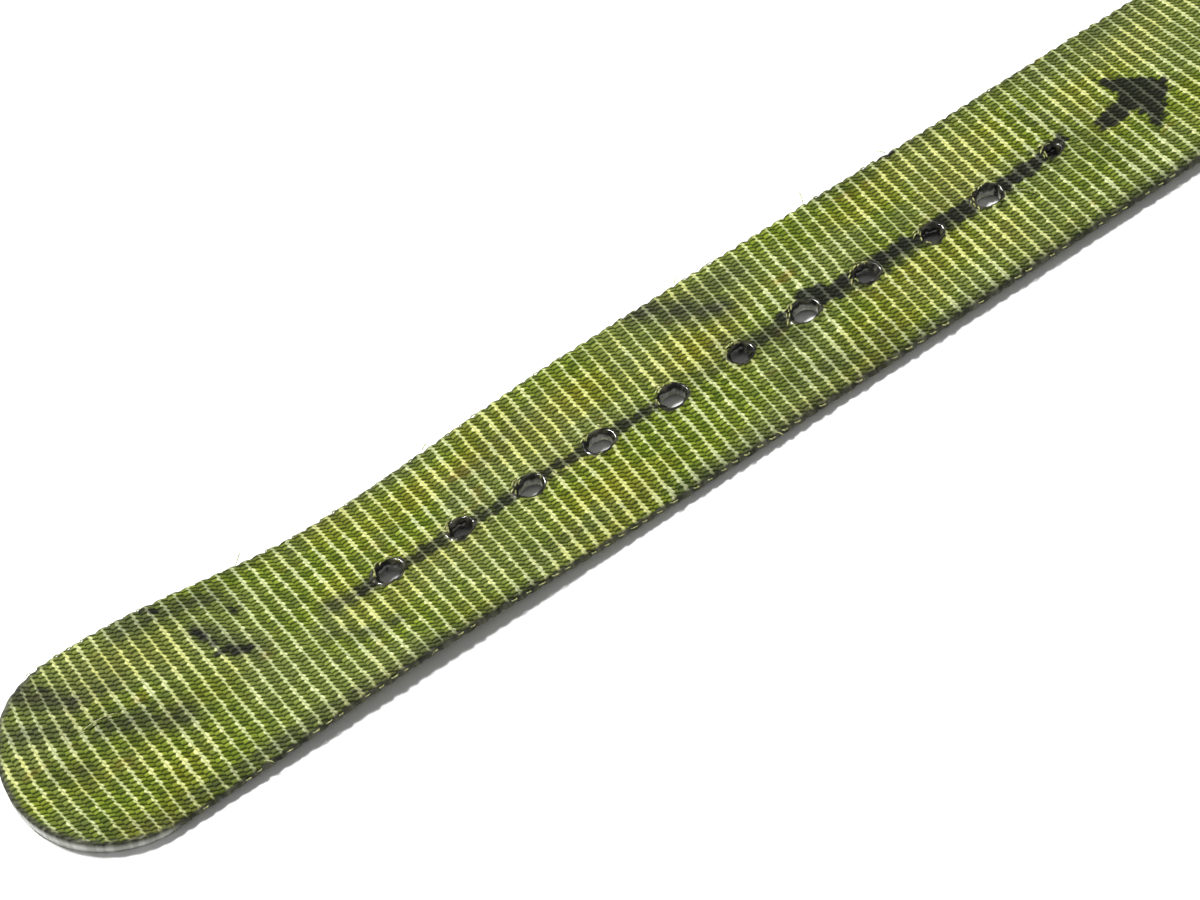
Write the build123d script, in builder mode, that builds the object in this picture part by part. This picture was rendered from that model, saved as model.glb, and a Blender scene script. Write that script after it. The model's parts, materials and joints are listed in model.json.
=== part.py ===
"""Strap-and-buckle limb tourniquet, laid out flat. Millimetres.

A ribbed webbing strap runs along X. Its rounded free end points to -X and carries a row of sealed
holes. Its other end folds round the heel bar of a roller buckle, over a lined guard that keeps the
skin out of the buckle. A pressure pad and a keeper slide on the strap. Z is up, Y is across, and
the origin is the middle of the footprint on the surface that the strap lies on.

Stations are distances from the strap's tip, and station() turns one into an X.
"""

import os
from math import asin, atan2, cos, degrees, hypot, sin, sqrt, tan

from build123d import *

os.makedirs("parts", exist_ok=True)

# Webbing
WEB_WIDTH = 25.0
WEB_THICK = 1.6
STRAP_LENGTH = 440.0  # tip to heel bar
PLY_GAP = 0.1  # between the two plies of the fold
THREAD = 0.4
CLEARANCE = 0.3  # between bodies that slide or swing past each other

# Row of holes
HOLE_COUNT = 11
HOLE_PITCH = 9.6
FIRST_HOLE = 47.9
HOLE_DIAMETER = 3.0

# Buckle
WIRE = 3.4
FRAME_INNER_WIDTH = 27.0
FRAME_LENGTH = 20.0  # heel bar axis to front bar axis
FRAME_CORNER = 3.0
BAR_TO_WEB = 0.25  # slack of the fold round the heel bar
RUNNING_FIT = 0.08
ROLLER_DIAMETER = 5.4
ROLLER_LENGTH = 24.0
ROLLER_EDGE = 0.25
EYE_THICK = 1.4
PRONG_WIDTH = 2.4
PRONG_THICK = 1.9
PRONG_KNEE = 6.0  # heel bar axis to the bend where the eye becomes the tongue
PRONG_RISE = 0.4
PRONG_OVERHANG = 3.4  # past the front bar axis
PRONG_NOSE = 1.0
PRONG_NOSE_ROUND = 0.45  # of the nose
PRONG_SLOT_LENGTH = 17.0
PRONG_SLOT_WIDTH = 4.2

# Guard under the buckle
FELT_THICK = 3.0
GUARD_THICK = 1.6
GUARD_NECK = 24.0
GUARD_WIDTH = 37.0
GUARD_SHOULDER = 7.0
GUARD_CORNER = 10.0
GUARD_OVERHANG = 6.0  # past the front bar axis

# Keepers and box stitch
KEEPER_THICK = 1.2
KEEPER_LENGTH = 9.0
KEEPER_INNER_WIDTH = 26.0
KEEPER_CORNER = 1.6
KEEPER_SLACK = 0.8  # above a folded tail
TACK_WIDTH = 1.6
TACK_MARGIN = 1.0
STITCH_WIDTH = 17.0
STITCH_LINE = 0.9

# Pressure pad
PAD_LENGTH = 62.0
PAD_WIDTH = 44.0
PAD_CORNER = 9.0
COVER_THICK = 0.8
PLATE_THICK = 1.2
PLATE_INSET = 0.6
CORE_INSET = 0.1
COVER_ROUND = 2.4
CORE_ROUND = 1.6
BINDING_WIDTH = 1.6
BINDING_HEIGHT = 2.6
BINDING_ROUND = 0.7
BRIDGE_LENGTH = 12.0
BRIDGE_THICK = 1.2
BRIDGE_FOOT = 6.0
BRIDGE_MARGIN = 2.0
BRIDGE_ROUND = 0.9
BRIDGE_GAP = 0.4  # round the strap

# Stations along the strap
RAMP_START = 205.0
RAMP_END = 255.0
FOLD_LINE = (RAMP_START + RAMP_END) / 2
PAD_STATION = 298.0
SLIDING_KEEPER_STATION = 368.0
LAP_END = 384.0
FIXED_KEEPER_STATION = 386.0
GUARD_START = 399.0
STITCH_START = 401.0
STITCH_END = 421.0
TAPER_START = 424.0
TAPER_BEND = 20.0  # radius where the strap starts its rise to the heel bar

OVERALL_LENGTH = STRAP_LENGTH + FRAME_LENGTH + GUARD_OVERHANG


def station(distance):
    """X of a point at a distance from the strap's tip."""
    return distance - OVERALL_LENGTH / 2


# Heights above the surface
GUARD_BASE = FELT_THICK
RETURN_BASE = GUARD_BASE + GUARD_THICK
TOP_PLY_BASE = RETURN_BASE + WEB_THICK + PLY_GAP
TOP_PLY_TOP = TOP_PLY_BASE + WEB_THICK
LOOP_RADIUS = WIRE / 2 + BAR_TO_WEB + WEB_THICK / 2
BAR_Z = RETURN_BASE + WEB_THICK / 2 + LOOP_RADIUS
KEEPER_ROOF = TOP_PLY_TOP + WEB_THICK + KEEPER_SLACK
PAD_TOP = TOP_PLY_BASE - BRIDGE_GAP

BAR_X = station(STRAP_LENGTH)
FRONT_BAR_X = BAR_X + FRAME_LENGTH
PAD_X = station(PAD_STATION + PAD_LENGTH / 2)
BRIDGE_OFFSET = PAD_LENGTH / 2 - BINDING_WIDTH - BRIDGE_MARGIN - BRIDGE_LENGTH / 2

# The strap's middle at both ends of the ramp and at the fold line, as (X, Z)
RAMP_LOW = (station(RAMP_START), WEB_THICK / 2)
RAMP_HIGH = (station(RAMP_END), TOP_PLY_BASE + WEB_THICK / 2)
FOLD_POINT = (station(FOLD_LINE), (RAMP_LOW[1] + RAMP_HIGH[1]) / 2)


def trim_at_fold(side):
    """Inside a builder: end the strap just short of the fold line, with side -1 or 1 cut away."""
    with Locations((FOLD_POINT[0] + side * (WEB_THICK - CLEARANCE / 2), 0, FOLD_POINT[1])):
        Box(2 * WEB_THICK, 2 * WEB_WIDTH, 4 * WEB_THICK, mode=Mode.SUBTRACT)


def build_strap_free_end():
    """A tongue with a half-round tip and the row of holes, then the lower half of the ramp."""
    tip_centre = station(WEB_WIDTH / 2)
    row_centre = station(FIRST_HOLE + HOLE_PITCH * (HOLE_COUNT - 1) / 2)
    with BuildPart() as strap_free_end:
        with BuildSketch():
            with Locations((tip_centre, 0)):
                Circle(WEB_WIDTH / 2)
                Rectangle(RAMP_LOW[0] - tip_centre, WEB_WIDTH, align=(Align.MIN, Align.CENTER))
        extrude(amount=WEB_THICK)
        with BuildLine(Plane.XZ) as rise:
            TangentArc(RAMP_LOW, FOLD_POINT, tangent=(1, 0))
        with BuildSketch(Plane(rise.line @ 0, x_dir=(0, 1, 0), z_dir=(1, 0, 0))):
            Rectangle(WEB_WIDTH, WEB_THICK)
        sweep(path=rise.line)
        trim_at_fold(1)
        with Locations((row_centre, 0, WEB_THICK)):
            with GridLocations(HOLE_PITCH, 0, HOLE_COUNT, 1):
                Hole(HOLE_DIAMETER / 2)
    strap_free_end.part.label = "strap_free_end"
    export_step(strap_free_end.part, "parts/strap_free_end.step")


def build_strap_buckle_end():
    """Up the rest of the ramp, level to the buckle, round its heel bar and back underneath."""
    level_mid = RAMP_HIGH[1]
    return_mid = RETURN_BASE + WEB_THICK / 2

    # The taper is the line from a corner on the level run that touches the loop round the bar.
    corner_x = station(TAPER_START)
    corner_to_bar = hypot(BAR_X - corner_x, BAR_Z - level_mid)
    taper_angle = atan2(BAR_Z - level_mid, BAR_X - corner_x) + asin(LOOP_RADIUS / corner_to_bar)
    run, rise = cos(taper_angle), sin(taper_angle)
    bend_end = TAPER_BEND * tan(taper_angle / 2)
    loop_start = sqrt(corner_to_bar**2 - LOOP_RADIUS**2)
    turn = degrees(taper_angle)

    with BuildPart() as strap_buckle_end:
        with BuildLine(Plane.XZ) as route:
            fold_arc = TangentArc(RAMP_HIGH, FOLD_POINT, tangent=(-1, 0))
            Line(RAMP_HIGH, (corner_x - bend_end, level_mid))
            JernArc((corner_x - bend_end, level_mid), (1, 0), TAPER_BEND, turn)
            taper_start = (corner_x + run * bend_end, level_mid + rise * bend_end)
            taper_end = (corner_x + run * loop_start, level_mid + rise * loop_start)
            Line(taper_start, taper_end)
            JernArc(taper_end, (run, rise), LOOP_RADIUS, -180 - turn)
            Line((BAR_X, return_mid), (station(LAP_END), return_mid))
        with BuildSketch(Plane(fold_arc @ 1, x_dir=(0, 1, 0), z_dir=fold_arc % 1)):
            Rectangle(WEB_WIDTH, WEB_THICK)
        sweep(path=route.line)
        trim_at_fold(-1)
        with BuildSketch(Plane.XY.offset(RETURN_BASE)):
            with Locations((BAR_X - FRAME_CORNER / 2, 0)):
                SlotOverall(PRONG_SLOT_LENGTH, PRONG_SLOT_WIDTH)
        extrude(amount=BAR_Z, mode=Mode.SUBTRACT)
    strap_buckle_end.part.label = "strap_buckle_end"
    export_step(strap_buckle_end.part, "parts/strap_buckle_end.step")


def stitch_line(height):
    """One side of the box stitch: a box with a cross in it, as a flat line of thread."""
    length = STITCH_END - STITCH_START
    run = length - STITCH_LINE
    rise = STITCH_WIDTH - STITCH_LINE
    slant = degrees(atan2(rise, run))
    with BuildPart() as line:
        with BuildSketch(Plane.XY.offset(height)):
            with Locations((station(STITCH_START + length / 2), 0)):
                Rectangle(length, STITCH_WIDTH)
                Rectangle(run - STITCH_LINE, rise - STITCH_LINE, mode=Mode.SUBTRACT)
                Rectangle(hypot(run, rise), STITCH_LINE, rotation=slant)
                Rectangle(hypot(run, rise), STITCH_LINE, rotation=-slant)
        extrude(amount=THREAD)
    return line.part


def guard_layer(height, thick):
    """One layer of the guard: a neck under the fold that widens into a paddle."""
    shoulder = station(STITCH_END)
    with BuildPart() as layer:
        with BuildSketch(Plane.XY.offset(height)) as outline:
            with BuildLine():
                half = Polyline(
                    (station(GUARD_START), 0),
                    (station(GUARD_START), GUARD_NECK / 2),
                    (shoulder, GUARD_NECK / 2),
                    (shoulder + GUARD_SHOULDER, GUARD_WIDTH / 2),
                    (FRONT_BAR_X + GUARD_OVERHANG, GUARD_WIDTH / 2),
                    (FRONT_BAR_X + GUARD_OVERHANG, 0),
                )
                mirror(half, about=Plane.XZ)
            make_face()
            fillet(outline.vertices().group_by(Axis.X)[-1].filter_by(lambda v: v.Y != 0), GUARD_CORNER)
        extrude(amount=thick)
    return layer.part


def build_guard():
    """The webbing tab under the buckle, its felt lining and the box stitch through it all."""
    with BuildPart() as guard_tab:
        add(guard_layer(GUARD_BASE, GUARD_THICK))
    guard_tab.part.label = "guard_tab"
    export_step(guard_tab.part, "parts/guard_tab.step")

    with BuildPart() as guard_felt:
        add(guard_layer(0, FELT_THICK))
        add(stitch_line(0), mode=Mode.SUBTRACT)
    guard_felt.part.label = "guard_felt"
    export_step(guard_felt.part, "parts/guard_felt.step")

    with BuildPart() as fold_stitching:
        add(stitch_line(TOP_PLY_TOP))
        add(stitch_line(0))
    fold_stitching.part.label = "fold_stitching"
    export_step(fold_stitching.part, "parts/fold_stitching.step")


def build_keeper(name, start, inner_base):
    """A band of webbing round the strap, and the bar tack that closes it underneath."""
    inner_height = KEEPER_ROOF - inner_base
    with BuildPart() as keeper:
        with BuildSketch(Plane.YZ.offset(station(start))):
            with Locations((0, inner_base + inner_height / 2)):
                RectangleRounded(
                    KEEPER_INNER_WIDTH + 2 * KEEPER_THICK,
                    inner_height + 2 * KEEPER_THICK,
                    KEEPER_CORNER,
                )
                RectangleRounded(
                    KEEPER_INNER_WIDTH,
                    inner_height,
                    KEEPER_CORNER - KEEPER_THICK,
                    mode=Mode.SUBTRACT,
                )
        extrude(amount=KEEPER_LENGTH)
    keeper.part.label = name
    export_step(keeper.part, f"parts/{name}.step")

    with BuildPart() as tack:
        with BuildSketch(Plane.XY.offset(inner_base - KEEPER_THICK - THREAD)):
            with Locations((station(start) + KEEPER_LENGTH / 2, 0)):
                SlotOverall(KEEPER_LENGTH - 2 * TACK_MARGIN, TACK_WIDTH)
        extrude(amount=THREAD)
    tack.part.label = f"{name}_tack"
    export_step(tack.part, f"parts/{name}_tack.step")


def build_buckle_frame():
    """One wire bent to a rectangle, with its heel bar inside the fold."""
    half_width = (FRAME_INNER_WIDTH + WIRE) / 2
    with BuildPart() as buckle_frame:
        with BuildLine(Plane.XY.offset(BAR_Z)) as wire_path:
            half = FilletPolyline(
                (BAR_X, 0),
                (BAR_X, half_width),
                (FRONT_BAR_X, half_width),
                (FRONT_BAR_X, 0),
                radius=FRAME_CORNER,
            )
            mirror(half, about=Plane.XZ)
        with BuildSketch(Plane((BAR_X, 0, BAR_Z), x_dir=(1, 0, 0), z_dir=(0, 1, 0))):
            Circle(WIRE / 2)
        sweep(path=wire_path.line)
    buckle_frame.part.label = "buckle_frame"
    export_step(buckle_frame.part, "parts/buckle_frame.step")


def build_buckle_roller():
    """A sleeve that turns on the front bar."""
    with BuildPart() as buckle_roller:
        with BuildSketch(Plane((FRONT_BAR_X, 0, BAR_Z), x_dir=(1, 0, 0), z_dir=(0, 1, 0))):
            Circle(ROLLER_DIAMETER / 2)
            Circle(WIRE / 2 + RUNNING_FIT, mode=Mode.SUBTRACT)
        extrude(amount=ROLLER_LENGTH / 2, both=True)
        chamfer(buckle_roller.faces().filter_by(Axis.Y).edges(), ROLLER_EDGE)
    buckle_roller.part.label = "buckle_roller"
    export_step(buckle_roller.part, "parts/buckle_roller.step")


def build_buckle_prong():
    """An eye closed round the heel bar and a tongue that rests on the roller."""
    eye_inner = WIRE / 2 + RUNNING_FIT
    eye_outer = eye_inner + EYE_THICK
    knee_x = BAR_X + PRONG_KNEE
    knee_z = BAR_Z + eye_inner + PRONG_RISE
    rest_z = BAR_Z + ROLLER_DIAMETER / 2 + RUNNING_FIT
    nose_x = FRONT_BAR_X + PRONG_OVERHANG
    with BuildPart() as buckle_prong:
        with BuildSketch(Plane.XZ):
            with BuildLine():
                Polyline(
                    (BAR_X, BAR_Z + eye_inner),
                    (knee_x, knee_z),
                    (FRONT_BAR_X, rest_z),
                    (nose_x, rest_z - PRONG_NOSE / 2),
                    (nose_x, rest_z + PRONG_NOSE / 2),
                    (FRONT_BAR_X, rest_z + PRONG_THICK),
                    (knee_x, knee_z + PRONG_THICK),
                    (BAR_X, BAR_Z + eye_outer),
                    close=True,
                )
            make_face()
            with Locations((BAR_X, BAR_Z)):
                Circle(eye_outer)
                Circle(eye_inner, mode=Mode.SUBTRACT)
        extrude(amount=PRONG_WIDTH / 2, both=True)
        fillet(buckle_prong.edges().filter_by(Axis.Y).group_by(Axis.X)[-1], PRONG_NOSE * PRONG_NOSE_ROUND)
    buckle_prong.part.label = "buckle_prong"
    export_step(buckle_prong.part, "parts/buckle_prong.step")


def pad_slab(base, thick, inset):
    """A slab of the pad's plan, smaller all round by inset."""
    with BuildPart() as slab:
        with BuildSketch(Plane.XY.offset(base)):
            with Locations((PAD_X, 0)):
                RectangleRounded(PAD_LENGTH - 2 * inset, PAD_WIDTH - 2 * inset, PAD_CORNER - inset)
        extrude(amount=thick)
    return slab.part


def build_pad():
    """Two covers bound together at the rim, round a foam core and a stiffening plate."""
    cover_base = PAD_TOP - COVER_THICK
    plate_base = cover_base - PLATE_THICK
    binding_base = PAD_TOP - BINDING_HEIGHT
    inside = BINDING_WIDTH + COVER_THICK

    with BuildPart() as pad_cover_upper:
        add(pad_slab(cover_base, COVER_THICK, BINDING_WIDTH))
    pad_cover_upper.part.label = "pad_cover_upper"
    export_step(pad_cover_upper.part, "parts/pad_cover_upper.step")

    with BuildPart() as pad_cover_lower:
        add(pad_slab(0, cover_base, BINDING_WIDTH))
        fillet(pad_cover_lower.faces().sort_by(Axis.Z)[0].edges(), COVER_ROUND)
        add(pad_slab(COVER_THICK, cover_base, inside), mode=Mode.SUBTRACT)
    pad_cover_lower.part.label = "pad_cover_lower"
    export_step(pad_cover_lower.part, "parts/pad_cover_lower.step")

    with BuildPart() as pad_plate:
        add(pad_slab(plate_base, PLATE_THICK, inside + PLATE_INSET))
    pad_plate.part.label = "pad_plate"
    export_step(pad_plate.part, "parts/pad_plate.step")

    with BuildPart() as pad_core:
        add(pad_slab(COVER_THICK, plate_base - COVER_THICK, inside + CORE_INSET))
        fillet(pad_core.faces().sort_by(Axis.Z)[0].edges(), CORE_ROUND)
    pad_core.part.label = "pad_core"
    export_step(pad_core.part, "parts/pad_core.step")

    with BuildPart() as pad_binding:
        add(pad_slab(binding_base, BINDING_HEIGHT, 0))
        fillet(pad_binding.faces().sort_by(Axis.Z)[-1].edges(), BINDING_ROUND)
        add(pad_slab(binding_base, BINDING_HEIGHT, BINDING_WIDTH), mode=Mode.SUBTRACT)
    pad_binding.part.label = "pad_binding"
    export_step(pad_binding.part, "parts/pad_binding.step")


def build_pad_bridge(name, centre):
    """A band sewn to the pad at both feet, which the strap passes under."""
    leg_inner = WEB_WIDTH / 2 + BRIDGE_GAP
    leg_outer = leg_inner + BRIDGE_THICK
    foot_end = leg_inner + BRIDGE_FOOT
    roof = TOP_PLY_TOP + BRIDGE_GAP
    with BuildPart() as bridge:
        with BuildSketch(Plane.YZ.offset(centre - BRIDGE_LENGTH / 2)) as profile:
            with BuildLine():
                half = Polyline(
                    (0, roof),
                    (leg_inner, roof),
                    (leg_inner, PAD_TOP),
                    (foot_end, PAD_TOP),
                    (foot_end, PAD_TOP + BRIDGE_THICK),
                    (leg_outer, PAD_TOP + BRIDGE_THICK),
                    (leg_outer, roof + BRIDGE_THICK),
                    (0, roof + BRIDGE_THICK),
                )
                mirror(half, about=Plane.YZ)
            make_face()
            corners = profile.vertices().group_by(Axis.Y)[-1].filter_by(lambda v: v.X != 0)
            fillet(corners, BRIDGE_ROUND)
        extrude(amount=BRIDGE_LENGTH)
    bridge.part.label = name
    export_step(bridge.part, f"parts/{name}.step")


def build_pad_bridge_tacks():
    """Four bar tacks, one on each foot of the two bridges."""
    tack_y = WEB_WIDTH / 2 + BRIDGE_GAP + BRIDGE_THICK + (BRIDGE_FOOT - BRIDGE_THICK) / 2
    with BuildPart() as pad_bridge_tacks:
        with BuildSketch(Plane.XY.offset(PAD_TOP + BRIDGE_THICK)):
            with Locations((PAD_X, 0)):
                with GridLocations(2 * BRIDGE_OFFSET, 2 * tack_y, 2, 2):
                    SlotOverall(BRIDGE_LENGTH - 2 * TACK_MARGIN, TACK_WIDTH)
        extrude(amount=THREAD)
    pad_bridge_tacks.part.label = "pad_bridge_tacks"
    export_step(pad_bridge_tacks.part, "parts/pad_bridge_tacks.step")


build_strap_free_end()
build_strap_buckle_end()
build_guard()
build_keeper("fixed_keeper", FIXED_KEEPER_STATION, RETURN_BASE)
build_keeper("sliding_keeper", SLIDING_KEEPER_STATION, TOP_PLY_BASE - CLEARANCE)
build_buckle_frame()
build_buckle_roller()
build_buckle_prong()
build_pad()
build_pad_bridge("pad_bridge_front", PAD_X + BRIDGE_OFFSET)
build_pad_bridge("pad_bridge_rear", PAD_X - BRIDGE_OFFSET)
build_pad_bridge_tacks()
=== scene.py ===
"""Looks of the strap-and-buckle tourniquet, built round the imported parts.

The strap is one length of ribbed webbing. It is described by d, the distance along it from the tip,
and v, the distance across it, and bent along a route in the XZ plane. Sizes are in millimetres, and
become metres where a mesh is made.
"""

import json
import math

import bpy
import numpy as np
from mathutils import Matrix, Vector, noise


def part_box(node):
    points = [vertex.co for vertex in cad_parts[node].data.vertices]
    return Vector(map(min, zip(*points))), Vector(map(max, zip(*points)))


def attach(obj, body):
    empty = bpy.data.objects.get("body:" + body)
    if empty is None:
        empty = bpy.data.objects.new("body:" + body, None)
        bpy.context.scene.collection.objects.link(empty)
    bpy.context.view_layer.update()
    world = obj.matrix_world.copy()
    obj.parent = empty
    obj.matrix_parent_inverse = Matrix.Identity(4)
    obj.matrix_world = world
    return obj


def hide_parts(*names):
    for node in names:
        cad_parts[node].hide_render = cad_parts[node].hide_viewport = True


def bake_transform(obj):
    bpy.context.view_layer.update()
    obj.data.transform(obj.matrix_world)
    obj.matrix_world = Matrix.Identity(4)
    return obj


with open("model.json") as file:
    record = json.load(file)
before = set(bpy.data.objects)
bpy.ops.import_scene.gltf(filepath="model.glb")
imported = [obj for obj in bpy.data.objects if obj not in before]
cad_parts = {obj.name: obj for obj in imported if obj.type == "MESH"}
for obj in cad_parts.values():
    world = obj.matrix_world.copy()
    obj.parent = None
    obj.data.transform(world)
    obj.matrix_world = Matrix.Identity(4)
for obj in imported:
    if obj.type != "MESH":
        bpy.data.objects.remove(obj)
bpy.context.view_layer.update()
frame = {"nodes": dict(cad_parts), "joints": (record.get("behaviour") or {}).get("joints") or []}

MM = 0.001
QUARTER = math.pi / 2


# ---- places read from the frame, in mm

def node_box(name):
    low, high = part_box(name)
    return np.array(low) / MM, np.array(high) / MM


def joint_point(name):
    joint = next(j for j in frame["joints"] if j["name"] == name)
    return np.array(joint["pos_m"]) / MM


THREAD = 0.4  # thickness of a line of stitching in the CAD model
THICK = 1.6  # the strap's webbing
BAND_THICK, BAND_RIB, BAND_YARN = 1.2, 1.25, 0.5  # keepers and pad bridges

FREE_LOW, FREE_HIGH = node_box("strap_free_end")
TIP_X = FREE_LOW[0]
WIDTH = FREE_HIGH[1] - FREE_LOW[1]
HALF = WIDTH / 2
BAR_X, _, BAR_Z = joint_point("buckle_swing")
FOLD_X = joint_point("strap_fold")[0]
GUARD_LOW, GUARD_HIGH = node_box("guard_tab")
FELT_LOW, FELT_HIGH = node_box("guard_felt")
STITCH_LOW, STITCH_HIGH = node_box("fold_stitching")
LOOP_RADIUS = BAR_Z - GUARD_HIGH[2] - THICK / 2  # middle of the ply round the heel bar
TOP_PLY_TOP = STITCH_HIGH[2] - THREAD
LAP_END_X = node_box("fixed_keeper")[0][0] - 2  # the lower ply ends just past the keeper
PAD_LOW, PAD_HIGH = node_box("pad_binding")
PAD_CENTRE_X = (PAD_LOW[0] + PAD_HIGH[0]) / 2

RIB = WIDTH / 14  # rib pitch along the strap
YARN = WIDTH / 40  # pitch of the warp yarns across it


# ---- small mathematical helpers

def smoothstep(low, high, x):
    t = np.clip((x - low) / (high - low), 0, 1)
    return t * t * (3 - 2 * t)


def through(x, knots):
    """A smooth curve through (x, y) knots, level at each of them."""
    xs, ys = np.array(knots, float).T
    i = np.clip(np.searchsorted(xs, x) - 1, 0, len(xs) - 2)
    return ys[i] + (ys[i + 1] - ys[i]) * smoothstep(xs[i], xs[i + 1], x)


def wobble(x, y, seed):
    """Smooth noise from -1 to 1 at each of the points."""
    x, y = np.broadcast_arrays(np.asarray(x, float), np.asarray(y, float))
    flat = [noise.noise(Vector((a, b, seed))) for a, b in zip(x.ravel(), y.ravel())]
    return np.array(flat).reshape(x.shape)


def segment_distance(x, y, a, b):
    ax, ay = a
    along = np.array(b, float) - np.array(a, float)
    t = np.clip(((x - ax) * along[0] + (y - ay) * along[1]) / (along @ along), 0, 1)
    return np.hypot(x - ax - t * along[0], y - ay - t * along[1])


def soft_lines(x, y, lines):
    """The strongest of some soft lines at each point; a line is its ends, reach and strength."""
    level = np.zeros(x.shape)
    for a, b, reach, strength in lines:
        here = strength * np.exp(-((segment_distance(x, y, a, b) / reach) ** 2))
        level = np.maximum(level, here)
    return level


def polygon_distance(x, y, corners):
    """Distance to a polygon's outline, negative inside it."""
    inside = np.zeros(x.shape, bool)
    nearest = np.full(x.shape, np.inf)
    for (x0, y0), (x1, y1) in zip(corners, corners[1:] + corners[:1]):
        nearest = np.minimum(nearest, segment_distance(x, y, (x0, y0), (x1, y1)))
        if y0 != y1:
            inside ^= ((y0 > y) != (y1 > y)) & (x < (x1 - x0) * (y - y0) / (y1 - y0) + x0)
    return np.where(inside, -nearest, nearest)


class Route:
    """A path of straight runs and arcs in a plane, as points, headings and distances."""

    def __init__(self, start, heading=0.0):
        self.parts, self.point, self.heading, self.length = [], np.array(start, float), heading, 0.0

    def run(self, length, turn=0.0):
        """Goes on by length, turning evenly by turn radians (left is positive)."""
        self.parts.append((self.length, length, self.point.copy(), self.heading, turn))
        self.point = self._along(length, length, self.point, self.heading, turn)
        self.heading += turn
        self.length += length
        return self

    def arc(self, radius, turn):
        return self.run(radius * abs(turn), turn)

    @staticmethod
    def _along(at, length, point, heading, turn):
        middle = heading + turn * at / length / 2
        chord = at * np.sinc(turn * at / length / 2 / np.pi)
        return np.stack([point[0] + chord * np.cos(middle), point[1] + chord * np.sin(middle)], -1)

    def at(self, d):
        """Points and headings at distances d."""
        d = np.asarray(d, float)
        points, headings = np.zeros(d.shape + (2,)), np.zeros(d.shape)
        for start, length, point, heading, turn in self.parts:
            here = (d >= start) | (start == 0)
            local = np.where(here, d - start, 0)
            points[here] = self._along(local, length, point, heading, turn)[here]
            headings[here] = (heading + turn * np.clip(local / length, 0, 1))[here]
        return points, headings


def strap_route():
    """The strap's middle: along the surface, up a ramp, level, round the heel bar and back."""
    ramp_start, ramp_end, taper_start, bend_radius = 205.0, 255.0, 424.0, 20.0
    level_z = TOP_PLY_TOP - THICK / 2
    rise, half_run = (level_z - THICK / 2) / 2, (ramp_end - ramp_start) / 2
    turn = 2 * math.atan2(rise, half_run)
    radius = math.hypot(rise, half_run) / math.sin(turn / 2) / 2
    corner = TIP_X + taper_start
    to_bar = math.hypot(BAR_X - corner, BAR_Z - level_z)
    slope = math.atan2(BAR_Z - level_z, BAR_X - corner) + math.asin(LOOP_RADIUS / to_bar)
    tangent = bend_radius * math.tan(slope / 2)
    route = Route((TIP_X, THICK / 2)).run(ramp_start).arc(radius, turn).arc(radius, -turn)
    route.run(taper_start - ramp_end - tangent).arc(bend_radius, slope)
    route.run(math.sqrt(to_bar**2 - LOOP_RADIUS**2) - tangent).arc(LOOP_RADIUS, -math.pi - slope)
    return route.run(BAR_X - LAP_END_X)


# ---- material nodes

class Field:
    """A number at each point of a surface: a node socket that arithmetic can be done on."""

    def __init__(self, tree, socket):
        self.tree, self.socket = tree, socket

    def __rsub__(self, other):
        return self * -1.0 + other

    def peak(self):
        """1 at the middle of each unit step and 0 at its ends."""
        return 1.0 - (self.fract() * 2.0 - 1.0).size()

    def smooth(self, low, high):
        """0 below low and 1 above high, or the other way round if high is less than low."""
        node = self.tree.nodes.new("ShaderNodeMapRange")
        node.interpolation_type = "SMOOTHSTEP"
        sockets = ("Value", "From Min", "From Max", "To Min", "To Max")
        levels = (self, min(low, high), max(low, high), float(high < low), float(high > low))
        for name, value in zip(sockets, levels):
            plug(self.tree, value, node.inputs[name])
        return Field(self.tree, node.outputs["Result"])


def math_method(operation):
    def method(self, *others):
        node = self.tree.nodes.new("ShaderNodeMath")
        node.operation = operation
        for socket, value in zip(node.inputs, (self, *others)):
            plug(self.tree, value, socket)
        return Field(self.tree, node.outputs[0])

    return method


Field.__add__ = Field.__radd__ = math_method("ADD")
Field.__mul__ = Field.__rmul__ = math_method("MULTIPLY")
Field.__sub__ = math_method("SUBTRACT")
Field.fract, Field.floor = math_method("FRACT"), math_method("FLOOR")
Field.size, Field.power = math_method("ABSOLUTE"), math_method("POWER")
Field.most, Field.least = math_method("MAXIMUM"), math_method("MINIMUM")


def plug(tree, value, socket):
    """Gives a socket a number, what another node says, or a colour in 0-255 display values."""
    if isinstance(value, Field):
        value = value.socket
    if isinstance(value, bpy.types.NodeSocket):
        tree.links.new(value, socket)
    elif isinstance(value, tuple):
        socket.default_value = (*(((c / 255 + 0.055) / 1.055) ** 2.4 for c in value), 1.0)
    else:
        socket.default_value = value


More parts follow.
